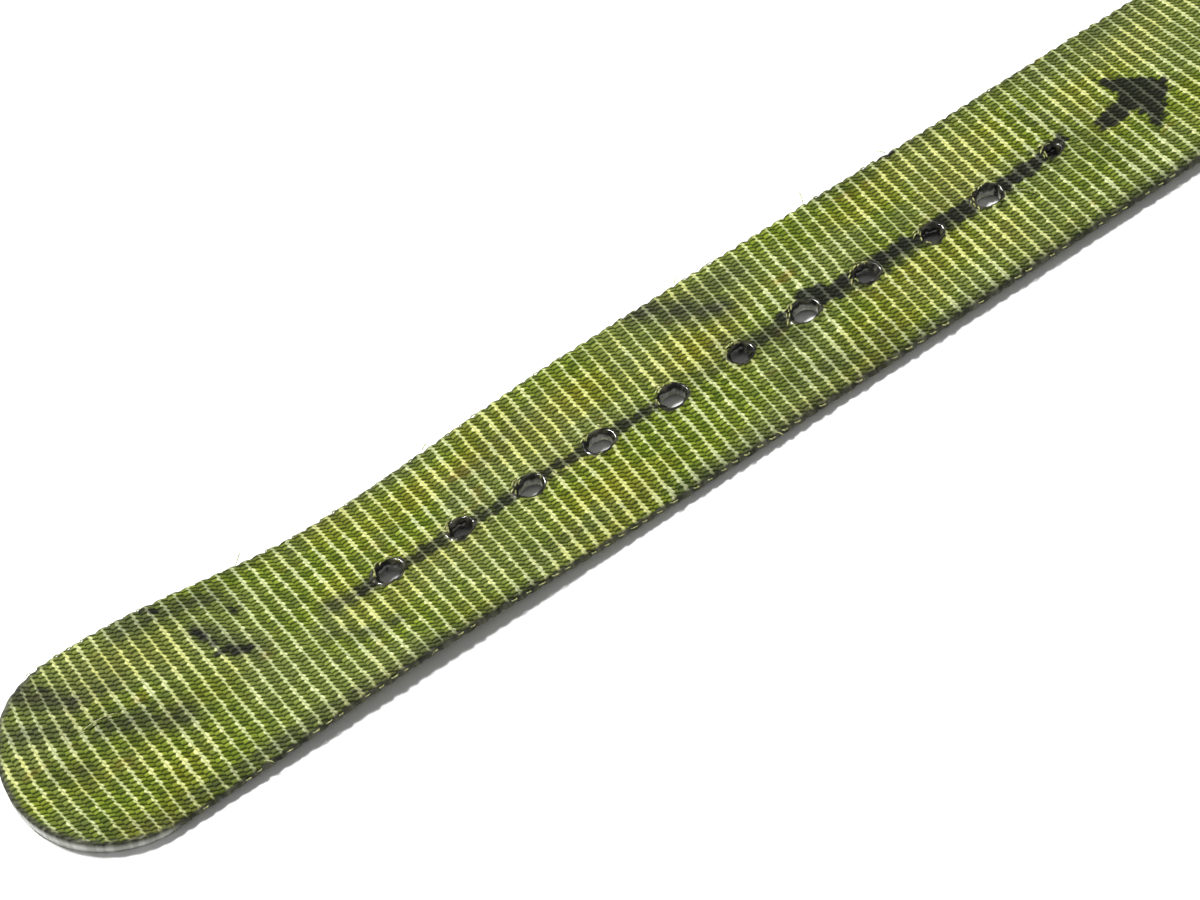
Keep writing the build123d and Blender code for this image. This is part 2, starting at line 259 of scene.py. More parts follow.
class Surface:
    """A Principled material and the nodes that drive it."""

    def __init__(self, name, roughness=0.6, metallic=0.0, specular=0.5, sheen=0.0):
        self.material = bpy.data.materials.new(name)
        self.material.use_nodes = True
        self.tree = self.material.node_tree
        self.looks = self.tree.nodes["Principled BSDF"].inputs
        self.roughness(roughness)
        self.looks["Metallic"].default_value = metallic
        self.looks["Specular IOR Level"].default_value = specular
        self.looks["Sheen Weight"].default_value = sheen

    def node(self, kind, inputs=(), **settings):
        """The outputs of a new node, given its settings and pairs of a socket and its value."""
        node = self.tree.nodes.new("ShaderNode" + kind)
        for name, value in settings.items():
            setattr(node, name, value)
        for socket, value in inputs:
            plug(self.tree, value, node.inputs[socket])
        return node.outputs

    def split(self, vector):
        return [Field(self.tree, output) for output in self.node("SeparateXYZ", [(0, vector)])]

    def join(self, *parts):
        return self.node("CombineXYZ", enumerate(parts))[0]

    def uv(self):
        """The mesh's own pattern coordinates, which count ribs or yarns."""
        return self.split(self.node("UVMap", uv_map="weave")[0])[:2]

    def place(self):
        """Coordinates on the object, in millimetres."""
        return [field * (1 / MM) for field in self.split(self.node("TexCoord")["Object"])]

    def attribute(self, name):
        return Field(self.tree, self.node("Attribute", attribute_name=name)["Fac"])

    def noise(self, x, y, z, detail=2.0):
        inputs = [("Vector", self.join(x, y, z)), ("Scale", 1.0), ("Detail", detail)]
        return Field(self.tree, self.node("TexNoise", inputs)["Fac"])

    def random(self, x, y, z):
        outputs = self.node("TexWhiteNoise", [("Vector", self.join(x, y, z))])
        return Field(self.tree, outputs["Value"])

    def mix(self, share, first, second):
        """first where share is 0 and second where it is 1; each is a colour."""
        return self.node("Mix", [(0, share), (6, first), (7, second)], data_type="RGBA")[2]

    def colour(self, value):
        plug(self.tree, value, self.looks["Base Color"])

    def roughness(self, value):
        plug(self.tree, value, self.looks["Roughness"])

    def gloss(self, value):
        """A clear glossy skin where value is 1, as melted nylon has."""
        plug(self.tree, value, self.looks["Coat Weight"])
        self.looks["Coat Roughness"].default_value = 0.12

    def bump(self, height, depth):
        """Height 1 stands depth millimetres proud of height 0."""
        bumped = self.node("Bump", [("Distance", depth * MM), ("Height", height)])[0]
        plug(self.tree, bumped, self.looks["Normal"])


# ---- materials

def rib_webbing():
    """Old ribbed nylon: pale crests, part wear and part painted highlight, olive flanks,
    dark gaps between yarns and ribs as painted shade, ink and grime.
    """
    s = Surface("rib_webbing", specular=0.08)
    k, w = s.uv()
    rib, phase = k.floor(), k.fract()
    patch = s.noise(k * 0.09, w * 0.06, 3.0, detail=3.0)
    fine = s.noise(k * 1.1, w * 0.9, 0.0)
    side = phase.smooth(0.45, 0.55)
    across = w + rib * 0.5 + side * 0.5 + phase * 0.7 + (fine - 0.5) * 0.8
    yarn = across.peak()
    chance = s.random(rib, across.floor(), side)
    crest = (k + (s.noise(rib * 0.7, w * 0.2, 8.0, detail=1.0) - 0.5) * 0.10).peak()
    # the next two noises make the pale crest line uneven: partly wear, partly painted highlight
    wear_and_highlight = s.noise(k * 0.16, w * 0.09, 11.0)
    rib_wear_and_highlight = s.random(rib, 5.0, 0.0)

    height = crest + (yarn - 0.5) * 0.26 + (chance - 0.5) * 0.22
    height = height + (wear_and_highlight - 0.5) * 0.5 + (rib_wear_and_highlight - 0.5) * 0.08
    # line is the pale crest of each rib (wear and painted highlight); gap and valley are painted
    # shade between yarns and between ribs
    line = height.smooth(0.70, 0.93)
    gap = yarn.smooth(0.64, 0.16) * crest.smooth(0.97, 0.74)
    valley = crest.smooth(0.2, 0.0)

    green = s.mix(chance, (74, 92, 14), (124, 140, 42))
    green = s.mix(patch.smooth(0.45, 0.7) * 0.75, green, (122, 116, 26))
    green = s.mix(s.noise(k * 0.3, w * 0.1, 17.0).smooth(0.5, 0.7) * 0.5, green, (98, 106, 58))
    green = s.mix(s.noise(k * 0.07, w * 0.05, 51.0).smooth(0.42, 0.6) * 0.6, green, (112, 120, 66))
    # painted shade in the gaps between yarns and in the valleys between ribs
    green = s.mix(gap * 0.92, green, (34, 44, 9))
    green = s.mix(valley * 0.35, green, (38, 46, 10))
    # crest colours: partly wear, partly a painted highlight
    pale = s.mix(chance, (144, 156, 92), (206, 212, 158))
    pale = s.mix(patch.smooth(0.42, 0.62) * 0.5, pale, (206, 203, 102))
    pale = s.mix(s.noise(k * 0.2, w * 0.2, 27.0).smooth(0.5, 0.66) * 0.6, pale, (172, 180, 136))
    cloth = s.mix(line, green, pale)

    ochre = s.noise(k * 0.24, w * 0.16, 21.0).smooth(0.62, 0.76)
    # within the ochre stain the crests stay lighter: painted highlight
    cloth = s.mix(ochre * 0.45, cloth, s.mix(line, (92, 72, 18), (188, 160, 76)))
    speck = s.noise(k * 0.5, w * 0.35, 33.0, detail=3.0)
    grime = s.attribute("grime") * (0.5 + speck) + speck.smooth(0.64, 0.8) * 0.3
    # within grime the crests stay lighter and the gaps darker: painted highlight and painted shade
    dull = s.mix(line, s.mix(gap, (50, 52, 40), (18, 19, 14)), (106, 110, 88))
    cloth = s.mix(grime.least(1.0) * 0.9, cloth, dull)

    ragged = (fine - 0.5) * 1.1 + (chance - 0.5) * 0.6
    ink = (s.attribute("ink_distance") + ragged).smooth(0.3, -0.4) * s.attribute("ink_strength")
    # under ink the crests stay lighter grey and the gaps darker: painted highlight and painted
    # shade
    inked = s.mix(line, s.mix(gap, (27, 28, 25), (9, 9, 8)), (66, 68, 60))
    cloth = s.mix(ink * 0.95, cloth, inked)
    melt = (s.attribute("melt") + (fine - 0.5) * 0.9).smooth(0.4, 0.62)
    cloth = s.mix(melt, cloth, s.mix(fine.smooth(0.4, 0.7), (14, 15, 11), (62, 61, 48)))
    seal = (s.attribute("seal") * (0.8 + fine * 0.4)).least(0.92)
    cloth = s.mix(seal, cloth, s.mix(fine.smooth(0.35, 0.7), (44, 45, 38), (92, 92, 80)))
    # a pale glassy melted rim at the tip, and painted light on the lower walls of holes, where the
    # lit floor would show through
    glaze_and_painted_light = s.attribute("glaze_and_painted_light")
    glass_and_painted_light = s.mix(fine.smooth(0.35, 0.65), (168, 170, 160), (212, 213, 205))
    s.colour(s.mix(glaze_and_painted_light * 0.95, cloth, glass_and_painted_light))
    s.roughness((0.7 - line * 0.1 - melt * 0.4 - glaze_and_painted_light * 0.2).most(0.2))
    s.gloss((melt * 0.7).most(glaze_and_painted_light * 0.3))
    s.bump((yarn.power(0.6) * 0.9 + fine * 0.5) * (1.0 - melt * 0.75), 0.11)
    return s.material


def band_webbing(name, dark, light, crest_dark, crest_light, gap_shade_colour):
    """Ribbed webbing of another piece: yarns, painted shade in the gaps and valleys, painted
    highlight on the crests, and a little grime, with no marks.
    """
    s = Surface(name, roughness=0.6, specular=0.3, sheen=0.1)
    k, w = s.uv()
    rib, phase = k.floor(), k.fract()
    fine = s.noise(k * 1.1, w * 0.9, 2.0)
    across = w + rib * 0.5 + phase * 0.8 + (fine - 0.5) * 0.5
    yarn, crest = across.peak(), k.peak()
    chance = s.random(rib, across.floor(), 1.0)
    line = (crest + (yarn - 0.5) * 0.3 + (chance - 0.5) * 0.25).smooth(0.66, 0.95)
    gap = yarn.smooth(0.5, 0.1) * crest.smooth(0.97, 0.7)
    valley = crest.smooth(0.22, 0.0)
    cloth = s.mix(chance, dark, light)
    # painted shade in the gaps between yarns and the valleys between ribs
    cloth = s.mix((gap * 0.85).most(valley * 0.75), cloth, gap_shade_colour)
    # crests lighter: painted highlight
    cloth = s.mix(line * 0.85, cloth, s.mix(chance, crest_dark, crest_light))
    dirt = s.noise(k * 0.21, w * 0.12, 5.0, detail=3.0).smooth(0.5, 0.75)
    # under dirt the crests stay lighter: painted highlight
    cloth = s.mix(dirt * 0.5, cloth, s.mix(line, (58, 58, 46), (128, 126, 104)))
    cloth = s.mix(s.attribute("seal") * 0.75, cloth, s.mix(fine, (46, 48, 34), (84, 84, 66)))
    s.colour(cloth)
    s.roughness(0.66 - line * 0.1)
    s.bump(yarn.power(0.6) * 0.9 + fine * 0.5, 0.1)
    return s.material


def felt():
    s = Surface("felt", roughness=0.95, specular=0.1, sheen=0.35)
    x, y, z = s.place()
    strand = s.noise(x * 1.3, y * 3.1, z * 3.1, detail=4.0)
    weft = s.noise(x * 3.3 + 9.0, y * 1.2, z * 3.0, detail=4.0)
    clump = s.noise(x * 0.22, y * 0.22, z * 0.6 + 3.0, detail=3.0)
    tone = strand * 0.5 + weft * 0.5
    cloth = s.mix(tone.smooth(0.32, 0.68), (74, 78, 56), (132, 134, 104))
    cloth = s.mix(clump.smooth(0.4, 0.7) * 0.55, cloth, (112, 108, 78))
    lint = s.noise(x * 2.6 + 4.0, y * 2.6, z * 2.6).smooth(0.66, 0.74)
    cloth = s.mix(lint * 0.6, cloth, (164, 162, 134))
    s.colour(cloth)
    s.bump(tone + clump, 0.35)
    return s.material


def canvas():
    """Plain cotton weave, lighter on its high spots because its low spots between the threads carry
    painted shade.
    """
    s = Surface("canvas", roughness=0.85, specular=0.15, sheen=0.15)
    x, y, z = s.place()
    drift = s.noise(x * 0.12, y * 0.12, z * 0.3, detail=2.0)
    warp, weft = x * 2.3 + z * 2.3 + drift * 0.9, y * 2.3 + z * 1.1 + drift * 1.3
    over = (warp.floor() + weft.floor()) * 0.5
    parity = over.fract().smooth(0.2, 0.3)
    across_warp, across_weft = warp.peak(), weft.peak()
    high = parity * across_weft.power(0.7) + (1.0 - parity) * across_warp.power(0.7)
    slub = s.noise(x * 0.5, y * 3.0, z * 0.5)
    chance = s.random(warp.floor(), weft.floor(), 2.0)
    cloth = s.mix(chance, (74, 78, 40), (96, 98, 56))
    # painted shade in the low spots between the threads
    cloth = s.mix(high.smooth(0.5, 0.2), cloth, (38, 40, 20))
    cloth = s.mix(slub.smooth(0.5, 0.8) * 0.5, cloth, (122, 122, 80))
    fade = s.noise(x * 0.06 + 4.0, y * 0.07, z * 0.2, detail=3.0)
    cloth = s.mix(fade.smooth(0.45, 0.7) * 0.4, cloth, (128, 124, 88))
    cloth = s.mix(s.attribute("grime") * 0.6, cloth, (48, 47, 34))
    s.colour(cloth)
    s.bump(high + slub * 0.3, 0.14)
    return s.material


def sewing_thread():
    """Twisted thread: u runs round it and v along it."""
    s = Surface("sewing_thread", roughness=0.55, specular=0.35, sheen=0.2)
    u, v = s.uv()
    ply = (u * 2.0 + v * 1.6).peak()
    chance = s.noise(v * 0.3, u, 4.0)
    # darker in the grooves between the plies: painted shade
    cloth = s.mix(ply.smooth(0.1, 0.7), (76, 76, 40), (172, 168, 112))
    cloth = s.mix(chance.smooth(0.5, 0.72) * 0.5, cloth, (110, 104, 74))
    s.colour(cloth)
    s.bump(ply.power(0.6), 0.07)
    return s.material


def worn_fibre():
    """Loose nylon filament, pale and slightly glassy."""
    s = Surface("worn_fibre", roughness=0.35, specular=0.5)
    u, v = s.uv()
    s.colour(s.mix(s.noise(v * 0.8, u, 1.0).smooth(0.35, 0.65), (118, 120, 66), (186, 188, 126)))
    s.bump(s.noise(v * 2.0, u, 3.0), 0.03)
    return s.material


def worn_metal(name, plate, tarnish, base, polish):
    """Plated metal: fine scratches all over, tarnish in blotches, base metal where it rubs."""
    s = Surface(name, roughness=0.3, metallic=1.0, specular=0.5)
    x, y, z = s.place()
    blotch = s.noise(x * 0.35, y * 0.35, z * 0.35, detail=5.0)
    along = s.noise(x * 0.8, y * 14.0, z * 14.0, detail=2.0)
    cross = s.noise(x * 16.0, y * 0.9, z * 9.0 + 7.0, detail=2.0)
    scratch = along.smooth(0.62, 0.7).most(cross.smooth(0.63, 0.7))
    rub = s.noise(x * 0.16 + 8.0, y * 0.5, z * 0.9, detail=4.0)
    pit = s.noise(x * 2.6, y * 2.6, z * 2.6 + 2.0, detail=3.0).smooth(0.66, 0.74)
    metal = s.mix(blotch.smooth(0.45, 0.72) * 0.8, plate, tarnish)
    metal = s.mix(rub.smooth(0.6, 0.72) * 0.7, metal, base)
    metal = s.mix(pit * 0.8, metal, (52, 44, 34))
    s.colour(metal)
    s.roughness((polish + blotch.smooth(0.4, 0.75) * 0.28 + scratch * 0.12 + pit * 0.3).least(0.9))
    s.bump(blotch * 0.4 - scratch * 0.25 - pit, 0.05)
    return s.material


def moulded_plastic():
    s = Surface("moulded_plastic", roughness=0.5, specular=0.4)
    x, y, z = s.place()
    grain = s.noise(x * 4.0, y * 4.0, z * 4.0, detail=4.0)
    s.colour(s.mix(grain, (34, 35, 32), (52, 53, 48)))
    s.roughness(0.42 + grain * 0.25)
    s.bump(grain, 0.05)
    return s.material


def foam():
    s = Surface("foam", roughness=0.95, specular=0.1)
    x, y, z = s.place()
    inputs = [("Vector", s.join(x * 1.4, y * 1.4, z * 1.4)), ("Scale", 1.0)]
    distance = Field(s.tree, s.node("TexVoronoi", inputs)["Distance"])
    # darker in the pores: painted shade
    s.colour(s.mix(distance.smooth(0.1, 0.6), (70, 68, 60), (150, 146, 130)))
    s.bump(distance, 0.3)
    return s.material


# ---- meshes

def mesh_piece(name, points, faces, material, uv=None, fields=None):
    """A smooth mesh object from points in millimetres."""
    mesh = bpy.data.meshes.new(name)
    mesh.from_pydata((np.asarray(points) * MM).tolist(), [], faces)
    if uv is not None:
        corner = np.empty(len(mesh.loops), int)
        mesh.loops.foreach_get("vertex_index", corner)
        mesh.uv_layers.new(name="weave").data.foreach_set("uv", np.asarray(uv)[corner].ravel())
    for key, values in (fields or {}).items():
        mesh.attributes.new(key, "FLOAT", "POINT").data.foreach_set("value", values)
    mesh.shade_smooth()
    mesh.materials.append(material)
    piece = bpy.data.objects.new(name, mesh)
    bpy.context.scene.collection.objects.link(piece)
    return piece


def join_pieces(name, pieces):
    """One object of several."""
    for piece in bpy.context.selected_objects:
        piece.select_set(False)
    for piece in pieces:
        piece.select_set(True)
    bpy.context.view_layer.objects.active = pieces[0]
    bpy.ops.object.join()
    pieces[0].name = pieces[0].data.name = name
    return pieces[0]


class Web:
    """A flat cloth surface built of points (d, v, lift); lift is 1 on top and -1 underneath."""

    def __init__(self, half, thick, spacing, edge_round):
        self.points, self.faces, self.half = [], [], half
        flat = half - edge_round
        count = 2 * max(1, round(flat / spacing))
        inner = np.linspace(-flat, flat, count + 1)
        outer = flat + edge_round * np.array([0.5, 0.85])
        top = np.concatenate([-outer[::-1], inner, outer]) / half
        inward = np.clip((np.abs(top) * half - flat) / edge_round, 0, 1)
        height = 1 - (1 - np.sqrt(1 - inward**2)) * min(1, 2 * edge_round / thick)
        self.share = np.array([*top, 1.0, *top[::-1], -1.0])
        self.lift = np.array([*height, 0.0, *(-height[::-1]), 0.0])
        self.top_count = len(top)

    def add(self, d, v, lift):
        self.points.append((float(d), float(v), float(lift)))
        return len(self.points) - 1

    def tube(self, stations, half_width, skip=lambda d, v, lift: False):
        """Loops of the section at the stations, leaving out the cells that skip names."""
        self.stations = stations
        section, turns = list(zip(self.share, self.lift)), len(self.share)
        rows = [[self.add(d, c * half_width(d), h) for c, h in section] for d in stations]
        ring = self.grid = np.array(rows)
        for i in range(len(stations) - 1):
            for j in range(turns):
                n = (j + 1) % turns
                v = (self.share[j] + self.share[n]) / 2 * self.half
                lift = (self.lift[j] + self.lift[n]) / 2
                if not skip((stations[i] + stations[i + 1]) / 2, v, lift):
                    self.faces.append((ring[i + 1, j], ring[i + 1, n], ring[i, n], ring[i, j]))
        count = self.top_count
        for end, step in ((ring[0], 1), (ring[-1], -1)):
            for j in range(count - 1):
                under = turns - 2 - j
                face = (end[j], end[j + 1], end[under - 1], end[under])
                self.faces.append(face[::step])
            self.faces.append((end[count - 1], end[count], end[count + 1])[::step])
            self.faces.append((end[turns - 2], end[turns - 1], end[0])[::step])

    def hole(self, hole):
        """Fills the cells left out round a hole with rings that close in on it, and walls it."""
        rows = [i for i, d in enumerate(self.stations) if hole.holds_row(d)]
        tops = [j for j in range(self.top_count) if abs(self.share[j] * self.half) < hole.reach]
        rims = []
        for upper in (True, False):
            columns = tops if upper else [2 * self.top_count - j for j in tops]
            edge = [(rows[0], j) for j in columns[:-1]]
            edge += [(i, columns[-1]) for i in rows[:-1]]
            edge += [(rows[-1], j) for j in columns[:0:-1]]
            edge += [(i, columns[0]) for i in rows[:0:-1]]
            ring = [self.grid[i, j] for i, j in edge]
            outer = np.array([self.points[p][:2] for p in ring])
            inner = hole.rim(outer)
            for share_in in (0.3, 0.55, 0.74, 0.87, 0.95, 1.0):
                at = outer + (inner - outer) * share_in
                new = [self.add(d, v, 1.0 if upper else -1.0) for d, v in at]
                self._band(ring, new, upper)
                ring = new
            rims.append(ring)
        ring = rims[0]
        for height in (0.45, -0.45):
            at = np.array([self.points[p][:2] for p in rims[0]])
            at = at - (at - hole.nearest(at)) * 0.08
            new = [self.add(d, v, height) for d, v in at]
            self._band(ring, new, True)
            ring = new
        self._band(ring, rims[1], True)

    def _band(self, outer, inner, upper):
        for a in range(len(outer)):
            b = (a + 1) % len(outer)
            face = (outer[a], outer[b], inner[b], inner[a])
            self.faces.append(face[::-1] if upper else face)


class Hole:
    """A round hole through the strap, or a slot if its axis runs from start to end."""

    def __init__(self, start, end, v, radius, melted, pale=0.0):
        self.start, self.end, self.v, self.radius, self.melted = start, end, v, radius, melted
        # pale: how much painted light the lower wall gets, in place of the lit floor seen through
        # the hole
        self.pale = pale
        self.margin, self.reach = 3.3, 3.4  # how far cells are left out along and across the strap
        self.stretch = np.array([1.22, 0.98] if melted else [1.0, 1.0])  # along and across, too

    def fit(self, web_stations):
        inside = [d for d in web_stations if self.holds_row(d)]
        self.first_row, self.last_row = inside[0], inside[-1]

    def holds_row(self, d):
        return self.start - self.margin < d < self.end + self.margin

    def holds(self, d, v, lift):
        return self.first_row < d < self.last_row and abs(v) < self.reach - 0.3 and abs(lift) > 0.95

    def nearest(self, at):
        """The nearest point of the hole's axis line to each point."""
        return np.stack([np.clip(at[:, 0], self.start, self.end), np.full(len(at), self.v)], -1)

    def rim(self, at):
        """Where the rim is, in the direction of each point; a melted one is uneven."""
        axis = self.nearest(at)
        away = at - axis
        away /= np.linalg.norm(away, axis=1)[:, None]
        if not self.melted:
            return axis + away * self.radius
        uneven = 1 + 0.26 * wobble(away[:, 0] * 1.3 + self.start, away[:, 1] * 1.3, 5.0)
        uneven += 0.13 * wobble(away[:, 0] * 3.1 + self.start, away[:, 1] * 3.1, 6.0)
        return axis + away * (self.radius * uneven)[:, None] * self.stretch

    def distance(self, d, v):
        along = (d - np.clip(d, self.start, self.end)) / self.stretch[0]
        return np.hypot(along, (v - self.v) / self.stretch[1])


def rib_relief(k, lift, thick, depth):
    """How far each point stands from the middle of a ribbed cloth, and the rib's profile there."""
    rib = 1 - np.abs(2 * (k % 1) - 1) ** 2.3
    return np.sign(lift) * (thick / 2 - depth * (1 - rib)) * np.abs(lift), rib


def rib_stations(start, end, pitch, phases):
    count = range(math.floor(start / pitch), math.ceil(end / pitch) + 1)
    inner = [(n + phase) * pitch for n in count for phase in phases]
    margin = 0.05 * pitch
    return [start] + [d for d in inner if start + margin < d < end - margin] + [end]


# ---- the strap

TIP_START = -0.45  # the melted tip reaches a little further than an even half circle
TIP_HANG = 1.2  # how far its underside hangs down at its rim
RIB_DEPTH = 0.27  # of the valleys between ribs
RIM_RISE, RIM_SINK = 0.2, 0.26  # the melted lip round a hole, and the step down into the hole

# How far each of the eleven holes has strayed along and across from its even place, its radius,
# and how pale its lower wall is painted, as painted light for the lit floor seen through the hole.
FIRST_HOLE, HOLE_PITCH = 47.9, 9.6
STRAYS = [
    (0.4, 0.2, 1.35, 0.4), (0.4, -0.2, 1.1, 0.0), (0.1, -0.6, 1.3, 1.0), (0.3, -0.7, 1.35, 0.9),
    (0.9, -0.8, 1.4, 0.8), (1.0, -0.9, 1.15, 0.3), (0.8, -0.8, 1.4, 1.0), (0.2, -1.0, 1.2, 0.2),
    (0.2, -1.2, 1.1, 0.0), (-0.8, -1.0, 1.4, 0.8), (-0.1, -0.5, 0.75, 0.0),
]

# Ink on the webbing: from, to, half width and strength. Beyond INK_FAR there is none.
INK_FAR = 3.0
INK_LINES = [
    ((44.5, 0.2), (60, -0.2), 0.9, 0.85),
    ((59, -0.3), (88, -0.6), 0.85, 0.9),
    ((95.5, -0.4), (106, -0.6), 0.9, 0.75),
    ((104, -0.2), (136, -1.0), 1.25, 1.0),
    ((112, -1.6), (128, -1.6), 0.7, 0.7),
    ((134, -1.0), (143, -0.4), 1.15, 1.0),
    ((142, -0.5), (145.8, 0.5), 0.95, 1.0),
    ((107.4, 0.9), (109.8, 0.8), 1.1, 1.0),
    ((26.4, 6.4), (27.4, 5.2), 0.5, 1.0),
    ((27.4, 4.8), (27.6, 2.6), 0.45, 0.9),
    ((27.6, 2.5), (30.3, 1.2), 0.7, 0.95),
    ((31.6, 6.8), (32.6, 6.7), 0.45, 1.0),
    ((22.6, 12.0), (24.4, 11.2), 0.5, 1.0),
    ((36.3, -6.8), (41.5, -6.5), 0.12, 0.7),
    ((7.0, 11.2), (9.5, 9.4), 0.4, 0.8),
    ((128.0, 12.2), (129.2, 11.9), 0.4, 1.0),
]

# A plain block arrow that shows which way the strap is pulled.
ARROW = [(162.2, -0.5), (155.2, 5.1), (155.2, 0.6), (150.4, 0.3)]
ARROW += [(150.4, -2.3), (155.6, -2.1), (155.6, -6.5)]

# Smudges: from, to, reach and strength.
SMEARS = [
    ((6.8, 9.9), (11.2, 6.4), 1.7, 0.9),
    ((4, 6.2), (9, 3.7), 1.6, 0.7),
    ((9.5, 7.5), (16, 5.4), 1.5, 0.55),
    ((12, 2.0), (17, 0.2), 1.9, 0.8),
    ((15, 0.0), (20.5, -2.2), 1.8, 0.8),
    ((5, 0.0), (8, -1.5), 1.4, 0.5),
    ((20, 11.2), (31, 9.8), 1.8, 0.75),
    ((27, 6.6), (31, 0.5), 1.5, 0.7),
    ((40.5, 0.4), (46, -0.2), 1.1, 0.9),
    ((44.4, -6.0), (45.8, -6.3), 0.8, 0.8),
    ((38.5, -2.4), (43.0, -6.4), 0.8, 0.6),
    ((34, 12.2), (62, 12.3), 1.3, 0.5),
    ((45, 0.2), (86, -0.4), 1.7, 0.35),
    ((91, 12), (99, 6), 2.1, 0.9),
    ((94, 10), (104, 9), 1.6, 0.5),
    ((96, 1.5), (103, -2.8), 1.8, 0.6),
    ((86, -0.3), (107, -0.5), 1.7, 0.5),
    ((106, -0.6), (144, -0.6), 2.2, 0.4),
    ((100, -8), (112, -10), 2.4, 0.5),
    ((60, 4), (72, 9), 2.2, 0.25),
    ((118, 11.8), (150, 12.2), 1.2, 0.6),
    ((145, 7), (150, -7), 1.8, 0.3),
    ((150, 10.5), (168, 11.8), 2.0, 0.4),
    ((15, -11), (60, -12.2), 1.0, 0.7),
    ((62, -9), (80, -10.5), 1.6, 0.3),
    ((80, -11.8), (170, -12), 1.1, 0.7),
    ((0, -6), (14, -12.4), 1.1, 0.5),
]

# How the loose end lies: distance from the tip, rise of its middle above the surface, height of its
# far edge above its middle, sideways drift and share of its full width.
LIE = [
    (-5, 1.40, 1.0, 0.4, 1.03),
    (15, 1.60, 1.45, 0.2, 1.03),
    (46, 0.55, -0.5, -0.4, 0.955),
    (82, 0.58, 0.38, -0.08, 1.0),
    (106, 0.58, 0.35, -0.05, 1.0),
    (135, 0.45, 0.0, 0.0, 1.0),
    (168, 0.42, 0.0, 0.0, 1.0),
    (192, 0.25, 0.0, 0.0, 1.0),
    (206, 0.12, 0.0, 0.0, 1.0),
    (256, 0.0, 0.0, 0.0, 1.0),
    (600, 0.0, 0.0, 0.0, 1.0),
]

# How far a rib leans: over the whole width it moves this far towards the buckle on the near side.
LEAN = [
    (-5, 0.2), (15, 0.6), (50, 0.6), (78, -0.5), (103, -1.0), (135, -0.3), (153, 0.8), (168, 2.4),
    (200, 0.5), (230, -0.6), (290, 0.7), (350, -0.4), (430, 0.2), (600, 0.0),
]


def strap_holes():
    holes = []
    for i, (along, across, radius, pale) in enumerate(STRAYS):
        d = FIRST_HOLE + HOLE_PITCH * i + along
        holes.append(Hole(d, d, across, radius, True, pale))
    return holes


def strap_marks(d, v, top):
    """Ink distance and strength, and grime, at points on the strap."""
    distance, strength = np.full(d.shape, INK_FAR), np.ones(d.shape)
    marks = [(segment_distance(d, v, a, b) - half, level) for a, b, half, level in INK_LINES]
    for here, level in [*marks, (polygon_distance(d, v, ARROW), 1.0)]:
        strength = np.where(here < distance, level, strength)
        distance = np.minimum(distance, here)
    grime = soft_lines(d, v, SMEARS)
    return np.where(top, distance, INK_FAR), strength, np.where(top, grime, grime * 0.3)


class StrapShape:
    """Where a point of the strap is: d along it, outward across it, height above its middle."""

    def __init__(self):
        self.route = strap_route()

    def place(self, d, outward, height):
        points, heading = self.route.at(d)
        columns = ([(row[0], row[n]) for row in LIE] for n in range(1, 5))
        rise, edge, drift, share = (through(d, knots) for knots in columns)
        roll = edge / HALF
        across = outward * share
        up = height * np.cos(roll) + across * np.sin(roll)
        y = across * np.cos(roll) - height * np.sin(roll) + drift
        x = points[:, 0] - np.sin(heading) * up
        z = points[:, 1] + np.cos(heading) * up + rise
        return np.stack([x, y, np.maximum(z, 0.02)], -1)

    def ribs(self, d, v):
        """The rib number at a point, which is a whole number in each valley."""
        lean = through(d, LEAN) * v / WIDTH
        bow = 2.1 * (np.maximum(v, 0) / HALF) ** 2 + 1.4 * (np.maximum(-v, 0) / HALF) ** 1.5
        tip = (1 - smoothstep(4, 17, d)) * bow
        drift = 0.16 * wobble(d * 0.16, v * 0.05, 14.0) + 0.10 * wobble(d * 0.05, v * 0.12, 15.0)
        return (d + lean - tip + drift) / RIB


